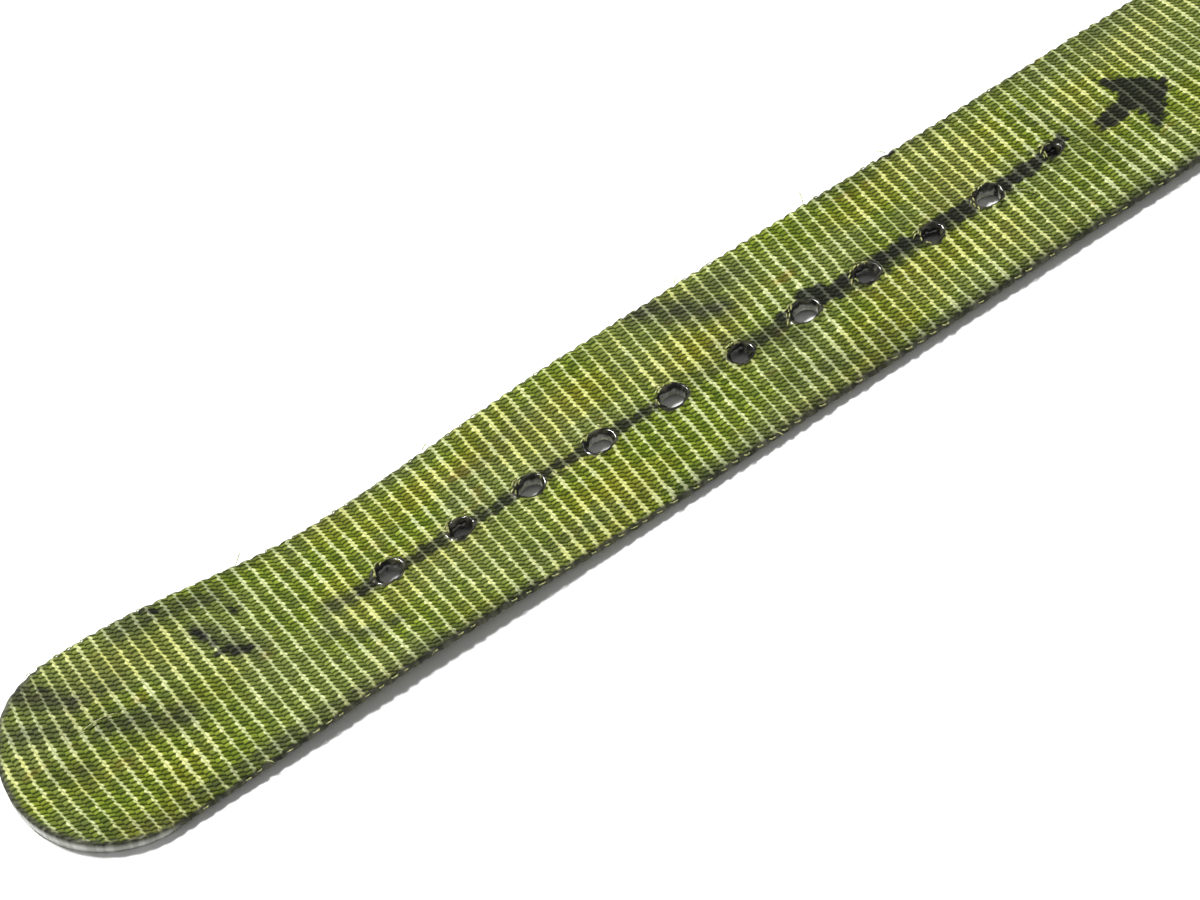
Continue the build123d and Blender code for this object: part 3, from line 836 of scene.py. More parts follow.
def strap_surface(web, shape, holes):
    """Points, weave coordinates and fields for every point of a strap surface."""
    d, v, lift = np.array(web.points).T
    top, shifted, clear = lift > 0, d.copy(), np.ones(len(d))
    melt, rim, pale = np.zeros((3, len(d)))
    for hole in holes:
        near = np.abs(d - (hole.start + hole.end) / 2) < (hole.end - hole.start) / 2 + 6
        rho = hole.distance(d[near], v[near])
        out = rho - hole.radius
        clear[near] = np.minimum(clear[near], smoothstep(0.1, 0.9, out))
        if hole.melted:
            along, across = d[near] - hole.start, v[near]
            pushed = along / np.maximum(rho, 0.3) * np.exp(-np.maximum(out, 0) / 0.9)
            shifted[near] -= 0.42 * pushed
            ring = 0.42 + 0.4 * wobble(along * 0.5 + hole.start, across * 0.5, 12.0)
            melt[near] = np.maximum(melt[near], 1 - smoothstep(ring - 0.3, ring + 0.3, out))
            # the lower wall is painted pale instead of melted: painted light for the lit floor seen
            # through the hole
            wall = (lift[near] < -0.3) & (out < 0.05)
            melt[near] = np.where(wall, 1 - hole.pale, melt[near])
            pale[near] = np.where(wall, hole.pale, pale[near])
            lump = 1 + 0.8 * wobble(d[near] * 0.9, across * 0.9, 13.0)
            rim[near] += RIM_RISE * lump * np.exp(-(((out - 0.3) / 0.28) ** 2))
            rim[near] -= RIM_SINK * (1 - smoothstep(-0.15, 0.22, out))
    tip_edge = np.hypot(np.minimum(d - HALF, 0) * HALF / (HALF - TIP_START), v)
    inset = np.maximum(HALF - tip_edge, 0)
    corner = 0.3 + 0.4 * smoothstep(8, 15, d)
    inward = np.clip(1 - inset / corner, 0, 1)
    rounding = (1 - np.sqrt(1 - inward**2)) * np.minimum(1, 2 * corner / THICK)
    lift = np.sign(lift) * (1 - rounding)
    k = shape.ribs(shifted, v)
    swell = 1 + 0.22 * wobble(np.floor(k) * 0.61, v * 0.11, 4.0)
    height, rib = rib_relief(k, lift, THICK, RIB_DEPTH * clear * swell)
    sharp = np.abs(lift)
    height = height + np.sign(lift) * sharp * (rim + 0.03 * wobble(d * 0.9, v * 0.9, 9.0))
    knob = 0.32 * rib - 0.2 + 0.13 * wobble(k * 1.3, np.sign(v), 2.0)
    knob *= np.where(v > 0, 1.3, 1.0)
    outward = v + np.sign(v) * (1 - sharp) * np.where(d < HALF, 0.3, 1.0) * knob

    # the melted tip hangs down at its rim and is fuller on its far side
    rounded = 1 - smoothstep(9, 14, d)
    droop = 0.7 + 0.3 * wobble(d * 0.4, v * 0.4, 18.0)
    hang = rounded * (1 - smoothstep(0.3, 0.9, inset)) * droop
    height = height - TIP_HANG * np.where(lift < 0, 1, np.where(lift == 0, 0.5, 0)) * hang
    outward = outward * np.where(v > 0, 1 + 0.05 * np.exp(-(((d - 4) / 4) ** 2)), 1)

    distance, strength, grime = strap_marks(d, v, top)
    side, rim_seal = 1 - smoothstep(0.55, 0.97, sharp), 1 - smoothstep(0.1, 0.9, inset)
    rim_top, rim_under = 1 - smoothstep(0.3, 0.85, sharp), 1 - smoothstep(0.5, 1.2, inset)
    fields = {
        "ink_distance": distance,
        "ink_strength": strength,
        "grime": grime,
        "melt": melt,
        "seal": np.clip(np.maximum(side, rounded * rim_seal), 0, 1),
        # the tip's melted rim, and the painted light on the lower walls of holes
        "glaze_and_painted_light": np.maximum(pale, rounded * np.where(lift > 0, rim_top, rim_under)),
    }
    return shape.place(d, outward, height), np.stack([k, v / YARN], -1), fields


def tip_half_width(d):
    return HALF * math.sqrt(1 - (max(HALF - d, 0) / (HALF - TIP_START)) ** 2)


def build_strap_length(name, start, end, holes, material, shape):
    web = Web(HALF, THICK, spacing=0.79, edge_round=0.7)
    stations = rib_stations(start, end, RIB, (0.0, 0.1, 0.28, 0.5, 0.72, 0.9))
    for hole in holes:
        hole.fit(stations)
    web.tube(stations, tip_half_width, lambda d, v, lift: any(h.holds(d, v, lift) for h in holes))
    for hole in holes:
        web.hole(hole)
    points, uv, fields = strap_surface(web, shape, holes)
    return mesh_piece(name, points, web.faces, material, uv, fields)


# ---- threads and fibres

class Threads:
    """Thin round tubes gathered into one mesh; their pattern is round them and along them."""

    def __init__(self, sides=6):
        self.points, self.faces, self.uv, self.sides = [], [], [], sides

    def tube(self, path, radius):
        """A tube along path, closed at both ends, tapering over its first and last points."""
        path = np.asarray(path, float)
        tangents = np.gradient(path, axis=0)
        tangents /= np.linalg.norm(tangents, axis=1)[:, None]
        helper = np.array([0.0, 0.0, 1.0] if abs(tangents[0, 2]) < 0.8 else [1.0, 0.0, 0.0])
        length, sides, first = 0.0, self.sides, len(self.points)
        for i, (point, tangent) in enumerate(zip(path, tangents)):
            across = np.cross(tangent, helper)
            if np.linalg.norm(across) > 0.02:
                side = across / np.linalg.norm(across)
            up = np.cross(side, tangent)
            if i:
                length += np.linalg.norm(point - path[i - 1])
            slim = radius * (0.45 if i in (0, len(path) - 1) else 1.0)
            for n in range(sides):
                angle = 2 * math.pi * n / sides
                self.points.append(point + slim * (math.cos(angle) * side + math.sin(angle) * up))
                self.uv.append((n / sides, length / radius / 3))
        last = first + (len(path) - 1) * sides
        for row in range(first, last, sides):
            for n in range(sides):
                a, b = row + n, row + (n + 1) % sides
                self.faces.append((a, b, b + sides, a + sides))
        self.faces.append(tuple(range(first, first + sides))[::-1])
        self.faces.append(tuple(range(last, last + sides)))

    def stitch(self, a, b, up, radius, sink=0.3):
        """One stitch from a to b: it comes up out of the cloth, lies on it and goes back in.
        up is 1 on the cloth's top and -1 underneath."""
        a, b = np.array(a, float), np.array(b, float)
        shape = ((0.0, -sink), (0.10, radius * 0.35), (0.3, radius), (0.5, radius * 1.15))
        shape += tuple((1 - t, rise) for t, rise in shape[2::-1])
        self.tube([a + (b - a) * t + np.array([0, 0, up * rise]) for t, rise in shape], radius)

    def seam(self, corners, pitch, gap, up, radius):
        """Stitches end to end along straight lines through the corners."""
        for a, b in zip(corners, corners[1:]):
            a, b = np.array(a, float), np.array(b, float)
            count = max(1, round(np.linalg.norm(b - a) / pitch))
            for i in range(count):
                shake = np.random.default_rng(len(self.points)).normal(0, 0.04, 3) * (1, 1, 0)
                ends = [a + (b - a) * t / count + shake for t in (i + gap / 2, i + 1 - gap / 2)]
                self.stitch(*ends, up, radius)

    def rail(self, points, z, gap, up, radius):
        """One stitch between each two of a line's points, level at z."""
        for a, b in zip(points, points[1:]):
            a, b = np.array([*a, z]), np.array([*b, z])
            self.stitch(a + (b - a) * gap, b - (b - a) * gap, up, radius)

    def bar_tack(self, centre, up, length, width, radius):
        """Close zigzag stitches over a short bar along X."""
        pitch = radius * 1.55
        count = int(length / pitch)
        for i in range(count):
            t = (i + 0.5 - count / 2) * pitch
            slant = pitch * 0.5 * (-1) ** i
            reach = width / 2 * (1 + 0.06 * math.sin(i * 2.4))
            a, b = np.array([[t - slant, -reach, 0], [t + slant, reach, 0]]) + centre
            self.stitch(a, b, up, radius, sink=0.2)

    def fibre(self, start, heading, length, radius, curl, rng):
        """A loose filament that wanders from start and stays above the surface."""
        point, heading = np.array(start, float), np.array(heading, float)
        path, steps, lowest = [point.copy()], 7, 0.05
        bend = rng.normal(0, curl, 3)
        for _ in range(steps):
            drift = bend / steps + rng.normal(0, curl * 0.25, 3)
            heading = heading / np.linalg.norm(heading) + drift
            point = point + heading / np.linalg.norm(heading) * length / steps
            point[2] = max(point[2], lowest)
            path.append(point.copy())
        self.tube(path, radius)

    def piece(self, name, material):
        return mesh_piece(name, self.points, self.faces, material, self.uv)


# ---- bands: keepers and pad bridges

def build_band(name, route, material, body):
    """A ribbed band whose route lies in the YZ plane and whose width lies along X."""
    low, high = node_box(name)
    play = 0.3  # narrower than its node by this much, for the ribs' ends
    width = high[0] - low[0] - play
    web = Web(width / 2, BAND_THICK, spacing=0.5, edge_round=0.5)
    web.tube(rib_stations(0.0, route.length, BAND_RIB, (0.0, 0.2, 0.5, 0.8)), lambda d: width / 2)
    d, v, lift = np.array(web.points).T
    k = d / BAND_RIB + 0.08 * wobble(d * 0.3, v * 0.2, 3.0)
    height, profile = rib_relief(k, lift, BAND_THICK, 0.17)
    side, uneven = 1 - np.abs(lift), 0.05 * wobble(k, np.sign(v), 6.0)
    outward = v + np.sign(v) * side * (0.14 * profile - 0.12 + uneven)
    points, heading = route.at(d)
    y = points[:, 0] - np.sin(heading) * height
    z = points[:, 1] + np.cos(heading) * height
    fields = {"seal": 1 - smoothstep(0.3, 0.95, 1 - side)}
    band = mesh_piece(name + "_band", np.stack([(low[0] + high[0]) / 2 - outward, y, z], -1),
                      web.faces, material, np.stack([k, v / BAND_YARN], -1), fields)
    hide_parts(name)
    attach(band, body)


def build_keeper(name, body, material, thread):
    """A keeper closed by a bar tack underneath."""
    low, high = node_box(name)
    width, bend = high[0] - low[0], 1.0
    side_y, base_z = high[1] - BAND_THICK / 2, low[2] + BAND_THICK / 2
    half_run, rise = side_y - bend, high[2] - low[2] - BAND_THICK - 2 * bend
    route = Route((0, base_z), math.pi).run(half_run)
    for run in (rise, 2 * half_run, rise, half_run):
        route.arc(bend, -QUARTER).run(run)
    build_band(name, route, material, body)
    threads = Threads()
    for margin, tack_width in ((2.2, 1.6), (3.4, 0.9)):
        place = ((low[0] + high[0]) / 2, 0, low[2] + 0.1)
        threads.bar_tack(place, -1, width - margin, tack_width, 0.16)
    tack = threads.piece(name + "_tack_stitches", thread)
    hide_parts(name + "_tack")
    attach(tack, body)


def build_bridge(name, material):
    low, high = node_box(name)
    leg_y = HALF + 0.4 + BAND_THICK / 2
    foot_z, roof_z = low[2] + BAND_THICK / 2, high[2] - BAND_THICK / 2
    bend = (roof_z - foot_z) / 2
    foot = high[1] - leg_y - bend
    route = Route((low[1], foot_z)).run(foot).arc(bend, QUARTER).arc(bend, -QUARTER)
    route.run(2 * (leg_y - bend)).arc(bend, -QUARTER).arc(bend, QUARTER).run(foot)
    build_band(name, route, material, "pad")


# ---- guard under the buckle

def guard_half_width(inset, start):
    """Half width of the guard's outline at each distance from its start, less an inset."""
    neck, wide, corner = 12.0, GUARD_HIGH[1], 10.0
    shoulder_start = STITCH_HIGH[0] - start
    shoulder_end = shoulder_start + 7.0
    end = GUARD_HIGH[0] - start

    def half_width(d):
        widening = min(max((d - shoulder_start) / (shoulder_end - shoulder_start), 0), 1)
        half = neck + (wide - neck) * widening
        into = max(d + inset - (end - corner), 0)
        return half - inset - corner + math.sqrt(max(corner**2 - into**2, 0.0))

    return half_width


def guard_stations(length, step):
    """Even stations that crowd together where the end is round."""
    crowded = 1.5
    even = np.arange(0, length - crowded, step)
    last = length - crowded * (1 - np.sin(np.linspace(0.05, 1, 9) * QUARTER))
    return [*even, *last[:-1], length - 0.02]


def box_stitch_corners(z):
    """The box stitch's two runs of needle holes, a little inside its CAD node."""
    inset = 0.45
    x0, x1, y = STITCH_LOW[0] + inset, STITCH_HIGH[0] - inset, STITCH_HIGH[1] - inset
    a, b, c, d = (x0, -y, z), (x0, y, z), (x1, y, z), (x1, -y, z)
    return [a, b, d, c, a, d], [b, c]


def build_guard(webbing, felt_material, thread):
    """The webbing tab with its edge stitching, and the felt lining with its fuzz."""
    rng = np.random.default_rng(5)
    start, length = GUARD_LOW[0], GUARD_HIGH[0] - GUARD_LOW[0]
    outline = guard_half_width(0.0, start)

    thick, rib, yarn = 1.6, 1.6, 0.6
    web = Web(GUARD_HIGH[1], thick, spacing=0.75, edge_round=0.6)
    web.tube(rib_stations(0.0, length - 0.02, rib, (0.0, 0.2, 0.5, 0.8)), outline)
    d, v, lift = np.array(web.points).T
    k = (d + 0.15 * wobble(d * 0.2, v * 0.1, 3.0)) / rib
    height, profile = rib_relief(k, lift, thick, 0.2)
    sharp = np.abs(lift)
    middle = (GUARD_LOW[2] + GUARD_HIGH[2]) / 2
    outward = v + np.sign(v) * (1 - sharp) * (0.1 * profile - 0.1)
    points = np.stack([start + d, outward, middle + height], -1)
    tab = mesh_piece("guard_webbing_tab", points, web.faces, webbing,
                     np.stack([k, v / yarn], -1), {"seal": 1 - smoothstep(0.3, 0.95, sharp)})

    edging, edge_inset, pitch = Threads(), 2.2, 2.6
    edge = guard_half_width(edge_inset, start)
    first = STITCH_HIGH[0] - start + 1.5
    along = np.array([*np.arange(first, length - 2.3, 0.5), length - 2.25])
    rail = [(start + x, edge(x)) for x in along]
    rail += [(x, -y) for x, y in rail[::-1]]
    lengths = np.cumsum([0] + [math.dist(a, b) for a, b in zip(rail, rail[1:])])
    spots = np.linspace(0, lengths[-1], round(lengths[-1] / pitch) + 1)
    stitched = np.stack([np.interp(spots, lengths, side) for side in np.array(rail).T], -1)
    for z, up in ((GUARD_HIGH[2] - 0.08, 1), (FELT_LOW[2] + 0.48, -1)):
        edging.rail(stitched, z, 0.1, up, 0.2)
    tab = join_pieces("guard_webbing_tab", [tab, edging.piece("guard_edging", thread)])
    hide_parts("guard_tab")
    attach(tab, "strap")

    web = Web(FELT_HIGH[1], FELT_HIGH[2], spacing=0.62, edge_round=0.9)
    web.tube(guard_stations(length, 0.6), outline)
    d, v, lift = np.array(web.points).T
    x, sharp = start + d, np.abs(lift)
    ragged = 0.22 * wobble(x * 0.8, v * 0.8, 1.0) + 0.12 * wobble(x * 2.5, v * 2.5, 2.0)
    first, second = box_stitch_corners(0.0)
    dents = [(a[:2], b[:2], 0.8, 0.6) for a, b in [*zip(first, first[1:]), second]]
    dents += [(a, b, 0.7, 0.5) for a, b in zip(rail, rail[1:])]
    dent, half = soft_lines(x, v, dents), FELT_HIGH[2] / 2
    above, below = -np.abs(ragged) * 0.2, dent * sharp + np.abs(ragged) * 0.25
    z = half + lift * half * 0.985 + np.where(lift < 0, below, above)
    bulge = (1 - sharp) * (0.15 + ragged)
    points = np.stack([x + bulge * (d / length - 0.5), v * (1 + bulge / FELT_HIGH[1]), z], -1)
    lining = mesh_piece("guard_felt_lining", points, web.faces, felt_material)

    fuzz, fibres = Threads(sides=3), 900
    outline = guard_half_width(0.2, start)
    for _ in range(fibres):
        d = rng.uniform(0, length - 0.6)
        y = rng.choice((-1, 1)) * outline(d) * (1 if rng.random() < 0.75 else rng.uniform(0, 1))
        at_edge = abs(y) > outline(d) * 0.98
        z = rng.uniform(0.4, FELT_HIGH[2] - 0.3) if at_edge else 0.35
        sideways = math.copysign(1, y) * (1 if at_edge else 0.2)
        away = (rng.normal(0, 0.5), sideways, rng.normal(-0.1, 0.3))
        root = (start + d, y - math.copysign(0.2, y), z)
        fuzz.fibre(root, away, rng.uniform(0.5, 1.4), 0.035, 0.9, rng)
    lining = join_pieces("guard_felt_lining", [lining, fuzz.piece("felt_fuzz", felt_material)])
    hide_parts("guard_felt")
    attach(lining, "strap")


def build_box_stitch(thread):
    threads = Threads()
    for z, up in ((TOP_PLY_TOP - 0.06, 1), (FELT_LOW[2] + 0.57, -1)):
        for corners in box_stitch_corners(z):
            threads.seam(corners, 2.3, 0.22, up, 0.24)
    piece = threads.piece("box_stitch_threads", thread)
    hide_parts("fold_stitching")
    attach(piece, "strap")


# ---- pressure pad

PAD_CORNER = 9.0
SEAM_INSET = 1.6  # from the binding's outside to the covers' edge
CHANNEL_Y = 7.5  # sewn channels in the covers
SWELL_LIMIT = 0.6


def pad_rim(inset):
    """The pad's round-cornered plan as a route, from the middle of the far side."""
    half_x, half_y = PAD_HIGH[0] - PAD_CENTRE_X - inset, PAD_HIGH[1] - inset
    corner = PAD_CORNER - inset
    route = Route((PAD_CENTRE_X, half_y), math.pi).run(half_x - corner)
    for run in (2 * (half_y - corner), 2 * (half_x - corner), 2 * (half_y - corner)):
        route.arc(corner, QUARTER).run(run)
    return route.arc(corner, QUARTER).run(half_x - corner)


def pad_depth(x, y):
    """How far inside the pad's outline each point is."""
    over_x = np.abs(x - PAD_CENTRE_X) - (PAD_HIGH[0] - PAD_CENTRE_X - PAD_CORNER)
    over_y = np.abs(y) - (PAD_HIGH[1] - PAD_CORNER)
    outside = np.hypot(np.maximum(over_x, 0), np.maximum(over_y, 0))
    return PAD_CORNER - outside - np.minimum(np.maximum(over_x, over_y), 0)


def evaluated(piece):
    return piece.evaluated_get(bpy.context.evaluated_depsgraph_get())


def apply_modifiers(piece):
    """Gives a piece the mesh that its modifiers make of it."""
    mesh = bpy.data.meshes.new_from_object(evaluated(piece))
    piece.modifiers.clear()
    piece.data = mesh
    return mesh


def pad_swell(piece, rest):
    """Where air pressure rounds the cover out to, as a cloth, at ten times its size."""
    scale, frames = 10.0, 20
    for v in piece.data.vertices:
        v.co = v.co * scale
    cloth = piece.modifiers.new("swell", "CLOTH")
    cloth.settings.use_pressure = True
    cloth.settings.uniform_pressure_force = 4.0
    cloth.settings.effector_weights.gravity = 0.0
    cloth.settings.tension_stiffness = cloth.settings.compression_stiffness = 25.0
    cloth.settings.bending_stiffness = 2.0
    for number in range(1, frames + 1):
        bpy.context.scene.frame_set(number)
    swollen = np.array([v.co for v in evaluated(piece).data.vertices]) / scale
    bpy.context.scene.frame_set(1)
    piece.modifiers.remove(cloth)
    move = swollen - rest
    far = np.linalg.norm(move, axis=1)
    free = smoothstep(0.5, 3.5, pad_depth(rest[:, 0] / MM, rest[:, 1] / MM))
    move *= (free * np.minimum(far, SWELL_LIMIT * MM) / np.maximum(far, 1e-9))[:, None]
    return rest + move


def ring_faces(rings, count):
    """Faces between each two of a stack of rings of count points."""
    for i in range(rings - 1):
        for n in range(count):
            a, b = i * count + n, i * count + (n + 1) % count
            yield a, a + count, b + count, b


def build_pad_covers(material, thread):
    """One stuffed cushion: both covers, drawn in at the rim and at two sewn channels."""
    top = node_box("pad_cover_upper")[1][2]
    # each ring's place inside the seam and its height
    rings = [(9.0, 0.4), (4.0, 0.4), (2.2, 0.45), (1.1, 0.9), (0.4, 1.8), (-0.1, 3.0), (-0.7, 3.7)]
    rings += [(-0.7, 4.7), (0.2, top - 0.75), (1.2, top - 0.45)]
    rings += [(3.0, top - 0.35), (9.0, top - 0.35)]
    count, points = 160, []
    for inset, z in rings:
        route = pad_rim(SEAM_INSET + min(inset, PAD_CORNER - SEAM_INSET - 0.6))
        spots = np.arange(count) / count * route.length
        points += [(x, y, z) for x, y in route.at(spots)[0]]
    lids = [tuple(range(count)), tuple(range(len(points) - count, len(points)))[::-1]]
    piece = mesh_piece("pad_cushion", points, [*ring_faces(len(rings), count), *lids], material)
    remesh = piece.modifiers.new("even", "REMESH")
    remesh.mode = "VOXEL"
    remesh.voxel_size = 0.75 * MM
    remesh.use_smooth_shade = True
    bpy.context.view_layer.update()
    even = apply_modifiers(piece)
    rest = np.array([v.co for v in even.vertices])
    moved = pad_swell(piece, rest)
    x, y, z = moved.T / MM
    channel = np.exp(-(((np.abs(y) - CHANNEL_Y) / 1.1) ** 2))
    pucker = 1 + 0.5 * np.sin((x - PAD_CENTRE_X) * 2.1 + np.sign(y) * 1.3)
    crease = 0.12 * np.abs(wobble(x * 0.35, y * 0.35, 7.0))
    core_low = node_box("pad_core")[0]
    core_round = 1.6
    into = np.clip(1 - (pad_depth(x, y) - (core_low[0] - PAD_LOW[0])) / core_round, 0, 1)
    core_bottom = core_low[2] + core_round * (1 - np.sqrt(1 - into**2))
    under = np.minimum(z + channel * (0.6 + 0.2 * pucker) + crease, core_bottom - 0.08)
    level = np.clip(np.where(z > top / 2, z - channel * 0.3 - crease, under), 0.0, top)
    even.vertices.foreach_set("co", (np.stack([x, y, level], -1) * MM).ravel())
    clean_x, clean_y, fade = 22, 13, 8  # the middle stays clean, and the rim turns dark over fade
    rim = np.maximum(np.abs(x - PAD_CENTRE_X) - clean_x, np.abs(y) - clean_y) / fade
    grime = channel * 0.7 + np.clip(rim, 0, 1) * 0.6
    even.attributes.new("grime", "FLOAT", "POINT").data.foreach_set("value", grime)
    smooth = piece.modifiers.new("smooth", "SUBSURF")
    smooth.levels = smooth.render_levels = 1
    fine = apply_modifiers(piece)
    fine.shade_smooth()
    fine.materials.clear()
    fine.materials.append(material)
    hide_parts("pad_cover_upper", "pad_cover_lower")
    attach(piece, "pad")

    threads = Threads()
    reach, z = (PAD_HIGH[0] - PAD_LOW[0]) / 2 - 4, 0.78
    for y in (-CHANNEL_Y, CHANNEL_Y):
        ends = [(PAD_CENTRE_X - reach, y, z), (PAD_CENTRE_X + reach, y, z)]
        threads.seam(ends, 2.6, 0.25, -1, 0.2)
    seams = threads.piece("pad_channel_stitches", thread)
    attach(seams, "pad")


def build_pad_binding(material, thread):
    """Ribbed tape folded over the rim of both covers, with a line of stitches on its top."""
    route = pad_rim(SEAM_INSET / 2)
    rib, tall = 0.85, PAD_HIGH[2] - PAD_LOW[2]
    section = [(-0.80, 1.0), (-0.45, 1.12), (0.1, 1.12), (0.62, 0.9), (0.84, 0.45), (0.84, -0.35)]
    section += [(0.62, -0.86), (0.1, -1.08), (-0.45, -1.08), (-0.80, -0.95), (-0.62, 0.0)]
    size, total = len(section), round(route.length / rib) * 4
    spots = np.arange(total) / total * route.length
    middle = (PAD_LOW[2] + PAD_HIGH[2]) / 2
    points, uv, seal = [], [], []
    once_round = 6.283
    turns = spots / route.length * once_round
    wave = 0.12 * wobble(np.cos(turns) * 9, np.sin(turns) * 9, 3.0)
    for i, ((x, y), heading) in enumerate(zip(*route.at(spots))):
        k = i / 4
        proud = 0.09 * (1 - abs(2 * (k % 1) - 1) ** 2) - 0.05
        nx, ny = math.sin(heading), -math.cos(heading)
        for n, (out, up) in enumerate(section):
            skin = n < size - 1
            off = out * 0.92 + skin * (math.copysign(proud, out) * abs(out) + wave[i])
            rise = up * (tall / 2 - 0.12) / 1.12 + skin * math.copysign(proud, up) * abs(up)
            points.append((x + nx * off, y + ny * off, middle + rise))
            uv.append((k, n * 1.1))
            seal.append(0.5 if n in (0, size - 2) else 0.0)
    faces = [[p % len(points) for p in face] for face in ring_faces(total + 1, size)]
    tape = mesh_piece("pad_binding_tape", points, faces, material, uv, {"seal": seal})
    threads = Threads()
    stitches = round(route.length / 2.4)
    line, _ = route.at(np.arange(stitches + 1) / stitches * route.length)
    threads.rail(line, PAD_HIGH[2] - 0.16, 0.12, 1, 0.18)
    tape = join_pieces("pad_binding_tape", [tape, threads.piece("binding_stitches", thread)])
    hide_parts("pad_binding")
    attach(tape, "pad")


def build_bridge_tacks(thread):
    threads = Threads()
    low, high = node_box("pad_bridge_tacks")
    for name in ("pad_bridge_front", "pad_bridge_rear"):
        middle_x = sum(corner[0] for corner in node_box(name)) / 2
        for y in (0.8 - high[1], high[1] - 0.8):
            for width in (1.6, 0.9):
                threads.bar_tack((middle_x, y, low[2] - 0.06), 1, 7.4 + width, width, 0.17)
    piece = threads.piece("bridge_tack_stitches", thread)
    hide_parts("pad_bridge_tacks")
    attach(piece, "pad")


# ---- everything together

def build_strap(material, fibre):
    shape = StrapShape()
    holes = strap_holes()
    hidden = 5  # how far inside the fixed keeper the two pieces meet
    seam = LAP_END_X - TIP_X + hidden
    strap = build_strap_length("strap_webbing", TIP_START + 0.03, seam, holes, material, shape)
    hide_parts("strap_free_end", "strap_buckle_end")
    bar_d = shape.route.length - (BAR_X - LAP_END_X)
    radius, reach = 2.1, 10.0
    slot = Hole(BAR_X - reach - TIP_X + radius, bar_d + reach - radius, 0.0, radius, False)
    end = shape.route.length
    fold = build_strap_length("strap_buckle_fold", seam, end, [slot], material, shape)
    fray = build_fray(shape, holes, fibre)
    bend_reach = 18.0
    start, end = ((FOLD_X + side * bend_reach) * MM for side in (-1, 1))
    for piece in (strap, fray):
        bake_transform(piece)
    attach(fold, "strap")


# Loose filaments on the face: distance from the tip, place across, heading and length.
LOOSE = [
    (9.5, 2.6, -0.1, 5.2), (35.0, 11.9, 0.8, 2.2), (116.0, 12.2, 1.2, 2.0), (128.5, 12.1, 2.2, 1.4),
    (97.0, 12.2, 0.9, 1.0), (136.5, -2.6, -0.9, 2.4), (60.5, 12.2, 0.5, 1.2),
    (24.0, -12.1, -0.8, 1.2), (93.0, -12.2, -1.0, 1.4),
]


def build_fray(shape, holes, material):
    """Loose filaments: edge loops at the rib ends, tufts at the holes and a few strays."""
    rng = np.random.default_rng(11)
    threads = Threads(sides=4)
    first_rib, last_rib, tufts = 4, 215, 9

    def along_strap(path, radius):
        d, v, height = np.array(path).T
        threads.tube(shape.place(d, v, height), radius)

    for n in range(first_rib, last_rib + 1):
        for side in (-1, 1):
            if rng.random() < 0.35:
                continue
            d = (n + 0.75) * RIB + rng.normal(0, 0.12)
            length, height = rng.uniform(0.8, 1.25), rng.uniform(0.12, 0.4)
            edge = side * (HALF + rng.uniform(0.0, 0.06))
            root = edge - side * 0.25
            path = [(d, root, height), (d + length * 0.25, edge, height + 0.06)]
            path += [(d + length * 0.7, edge, height), (d + length, root, height - 0.1)]
            along_strap(path, rng.uniform(0.07, 0.12))
    for hole in holes:
        for _ in range(tufts):
            angle = rng.normal(1.9, 0.7)
            reach = hole.radius + rng.uniform(0.3, 0.7)
            d, v = hole.start + reach * math.cos(angle), hole.v + reach * math.sin(angle)
            turn, span = angle + QUARTER + rng.uniform(-0.6, 0.6), rng.uniform(0.5, 1.1)
            along, across = span * math.cos(turn), span * math.sin(turn)
            top = THICK / 2 + 0.05
            rises = (-0.2, rng.uniform(0.1, 0.22), rng.uniform(0.1, 0.22), -0.2)
            steps = zip((0, 0.3, 0.7, 1), rises)
            path = [(d + along * t, v + across * t, top + rise) for t, rise in steps]
            along_strap(path, rng.uniform(0.08, 0.15))
    for d, v, angle, length in LOOSE:
        steps = np.linspace(0, 1, 6)
        bow = 0.25 * length * steps * (1 - steps)
        ahead, aside = length * steps * math.cos(angle), length * steps * math.sin(angle)
        path = np.stack([d + ahead + bow, v + aside + bow, THICK / 2 + 0.1 + bow], -1)
        along_strap(path, 0.07)
    return threads.piece("strap_fray", material)


def build_stage():
    s = Surface("table", roughness=0.9, specular=0.1)
    x, y, z = s.place()
    s.colour(s.noise(x * 0.01, y * 0.01, z) * 0.02 + 0.86)
    size = 3000
    corners = [(-size, -size, 0), (size, -size, 0), (size, size, 0), (-size, size, 0)]
    mesh_piece("floor", corners, [(0, 1, 2, 3)], s.material)


def build_light():
    """A soft light high on the far left, a weak one in front and a pale room."""
    world = bpy.data.worlds.new("studio")
    bpy.context.scene.world = world
    world.use_nodes = True
    background = world.node_tree.nodes["Background"].inputs
    background["Color"].default_value = (1, 1, 1, 1)
    background["Strength"].default_value = 0.26
    target = Vector((-0.06, 0, 0))
    for name, place, size, power in (
        ("key", (-0.42, 0.52, 1.02), 0.22, 24.0),
        ("fill", (0.5, -0.9, 1.0), 0.8, 1.5),
    ):
        light = bpy.data.lights.new(name, "AREA")
        light.size, light.energy = size, power
        lamp = bpy.data.objects.new(name, light)
        lamp.location = place
        lamp.rotation_euler = (target - Vector(place)).to_track_quat("-Z", "Y").to_euler()
        bpy.context.scene.collection.objects.link(lamp)
    bpy.context.scene.view_settings.view_transform = "Standard"


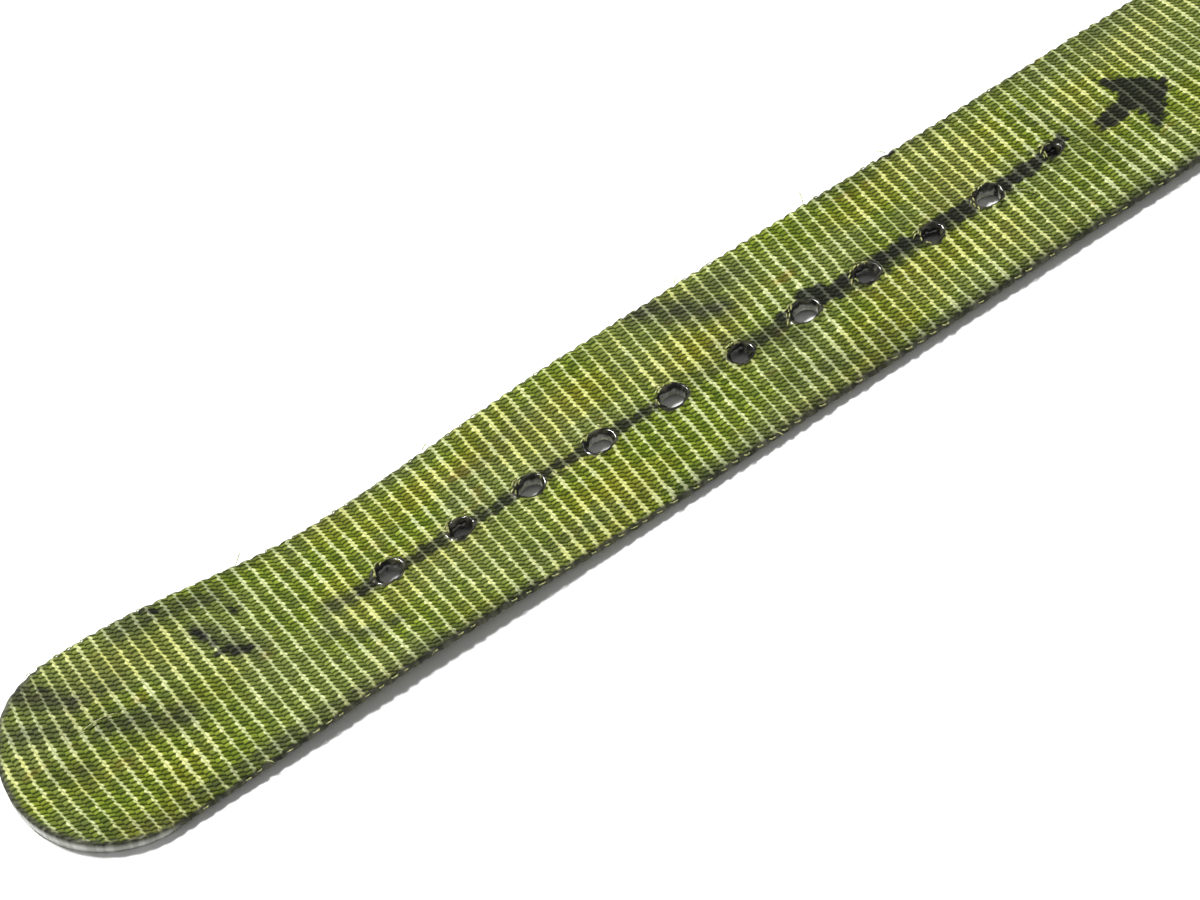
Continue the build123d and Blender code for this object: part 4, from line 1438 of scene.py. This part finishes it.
def build_camera():
    """A long lens above the near left of the loose end, looking down on it."""
    right = Vector((0.8112071, -0.5730527, -0.1164203))
    up = Vector((0.5190939, 0.6140336, 0.5945622))
    data = bpy.data.cameras.new("camera")
    data.lens, data.sensor_width, data.clip_start = 104.8, 36.0, 0.01
    camera = bpy.data.objects.new("camera", data)
    strap_top = 2.05
    place = Vector((TIP_X - 30.8, -217.7, 316.7 + strap_top)) * MM
    turn = Matrix((right, up, right.cross(up))).transposed().to_4x4()
    camera.matrix_world = Matrix.Translation(place) @ turn
    bpy.context.scene.collection.objects.link(camera)
    bpy.context.scene.camera = camera


def dress(node, material):
    """Gives a carried-over CAD node its material."""
    for slot in frame["nodes"][node].material_slots:
        slot.material = material


build_stage()
build_light()
build_camera()

# Band colours: dark and light yarns, dark and light crests (painted highlight), and the gaps
# (painted shade).
KEEPER_COLOURS = ((74, 80, 30), (98, 102, 46), (120, 124, 66), (152, 152, 92), (26, 28, 10))
GUARD_COLOURS = ((80, 84, 38), (104, 104, 52), (122, 122, 70), (150, 146, 92), (30, 31, 14))
BINDING_COLOURS = ((58, 62, 26), (78, 80, 38), (92, 94, 52), (116, 114, 70), (22, 24, 9))

thread = sewing_thread()
build_strap(rib_webbing(), worn_fibre())
keeper_cloth = band_webbing("keeper_webbing", *KEEPER_COLOURS)
build_keeper("fixed_keeper", "strap", keeper_cloth, thread)
build_keeper("sliding_keeper", "keeper", keeper_cloth, thread)
build_guard(band_webbing("guard_webbing", *GUARD_COLOURS), felt(), thread)
build_box_stitch(thread)
build_pad_covers(canvas(), thread)
build_pad_binding(band_webbing("binding_tape", *BINDING_COLOURS), thread)
build_bridge("pad_bridge_front", keeper_cloth)
build_bridge("pad_bridge_rear", keeper_cloth)
build_bridge_tacks(thread)
steel = worn_metal("plated_steel", (196, 192, 182), (138, 128, 108), (176, 142, 92), 0.22)
rubbed = worn_metal("rubbed_steel", (206, 203, 196), (150, 142, 124), (190, 184, 172), 0.16)
for node, material in (
    ("buckle_frame", steel), ("buckle_roller", rubbed), ("buckle_prong", steel),
    ("pad_plate", moulded_plastic()), ("pad_core", foam()),
):
    dress(node, material)
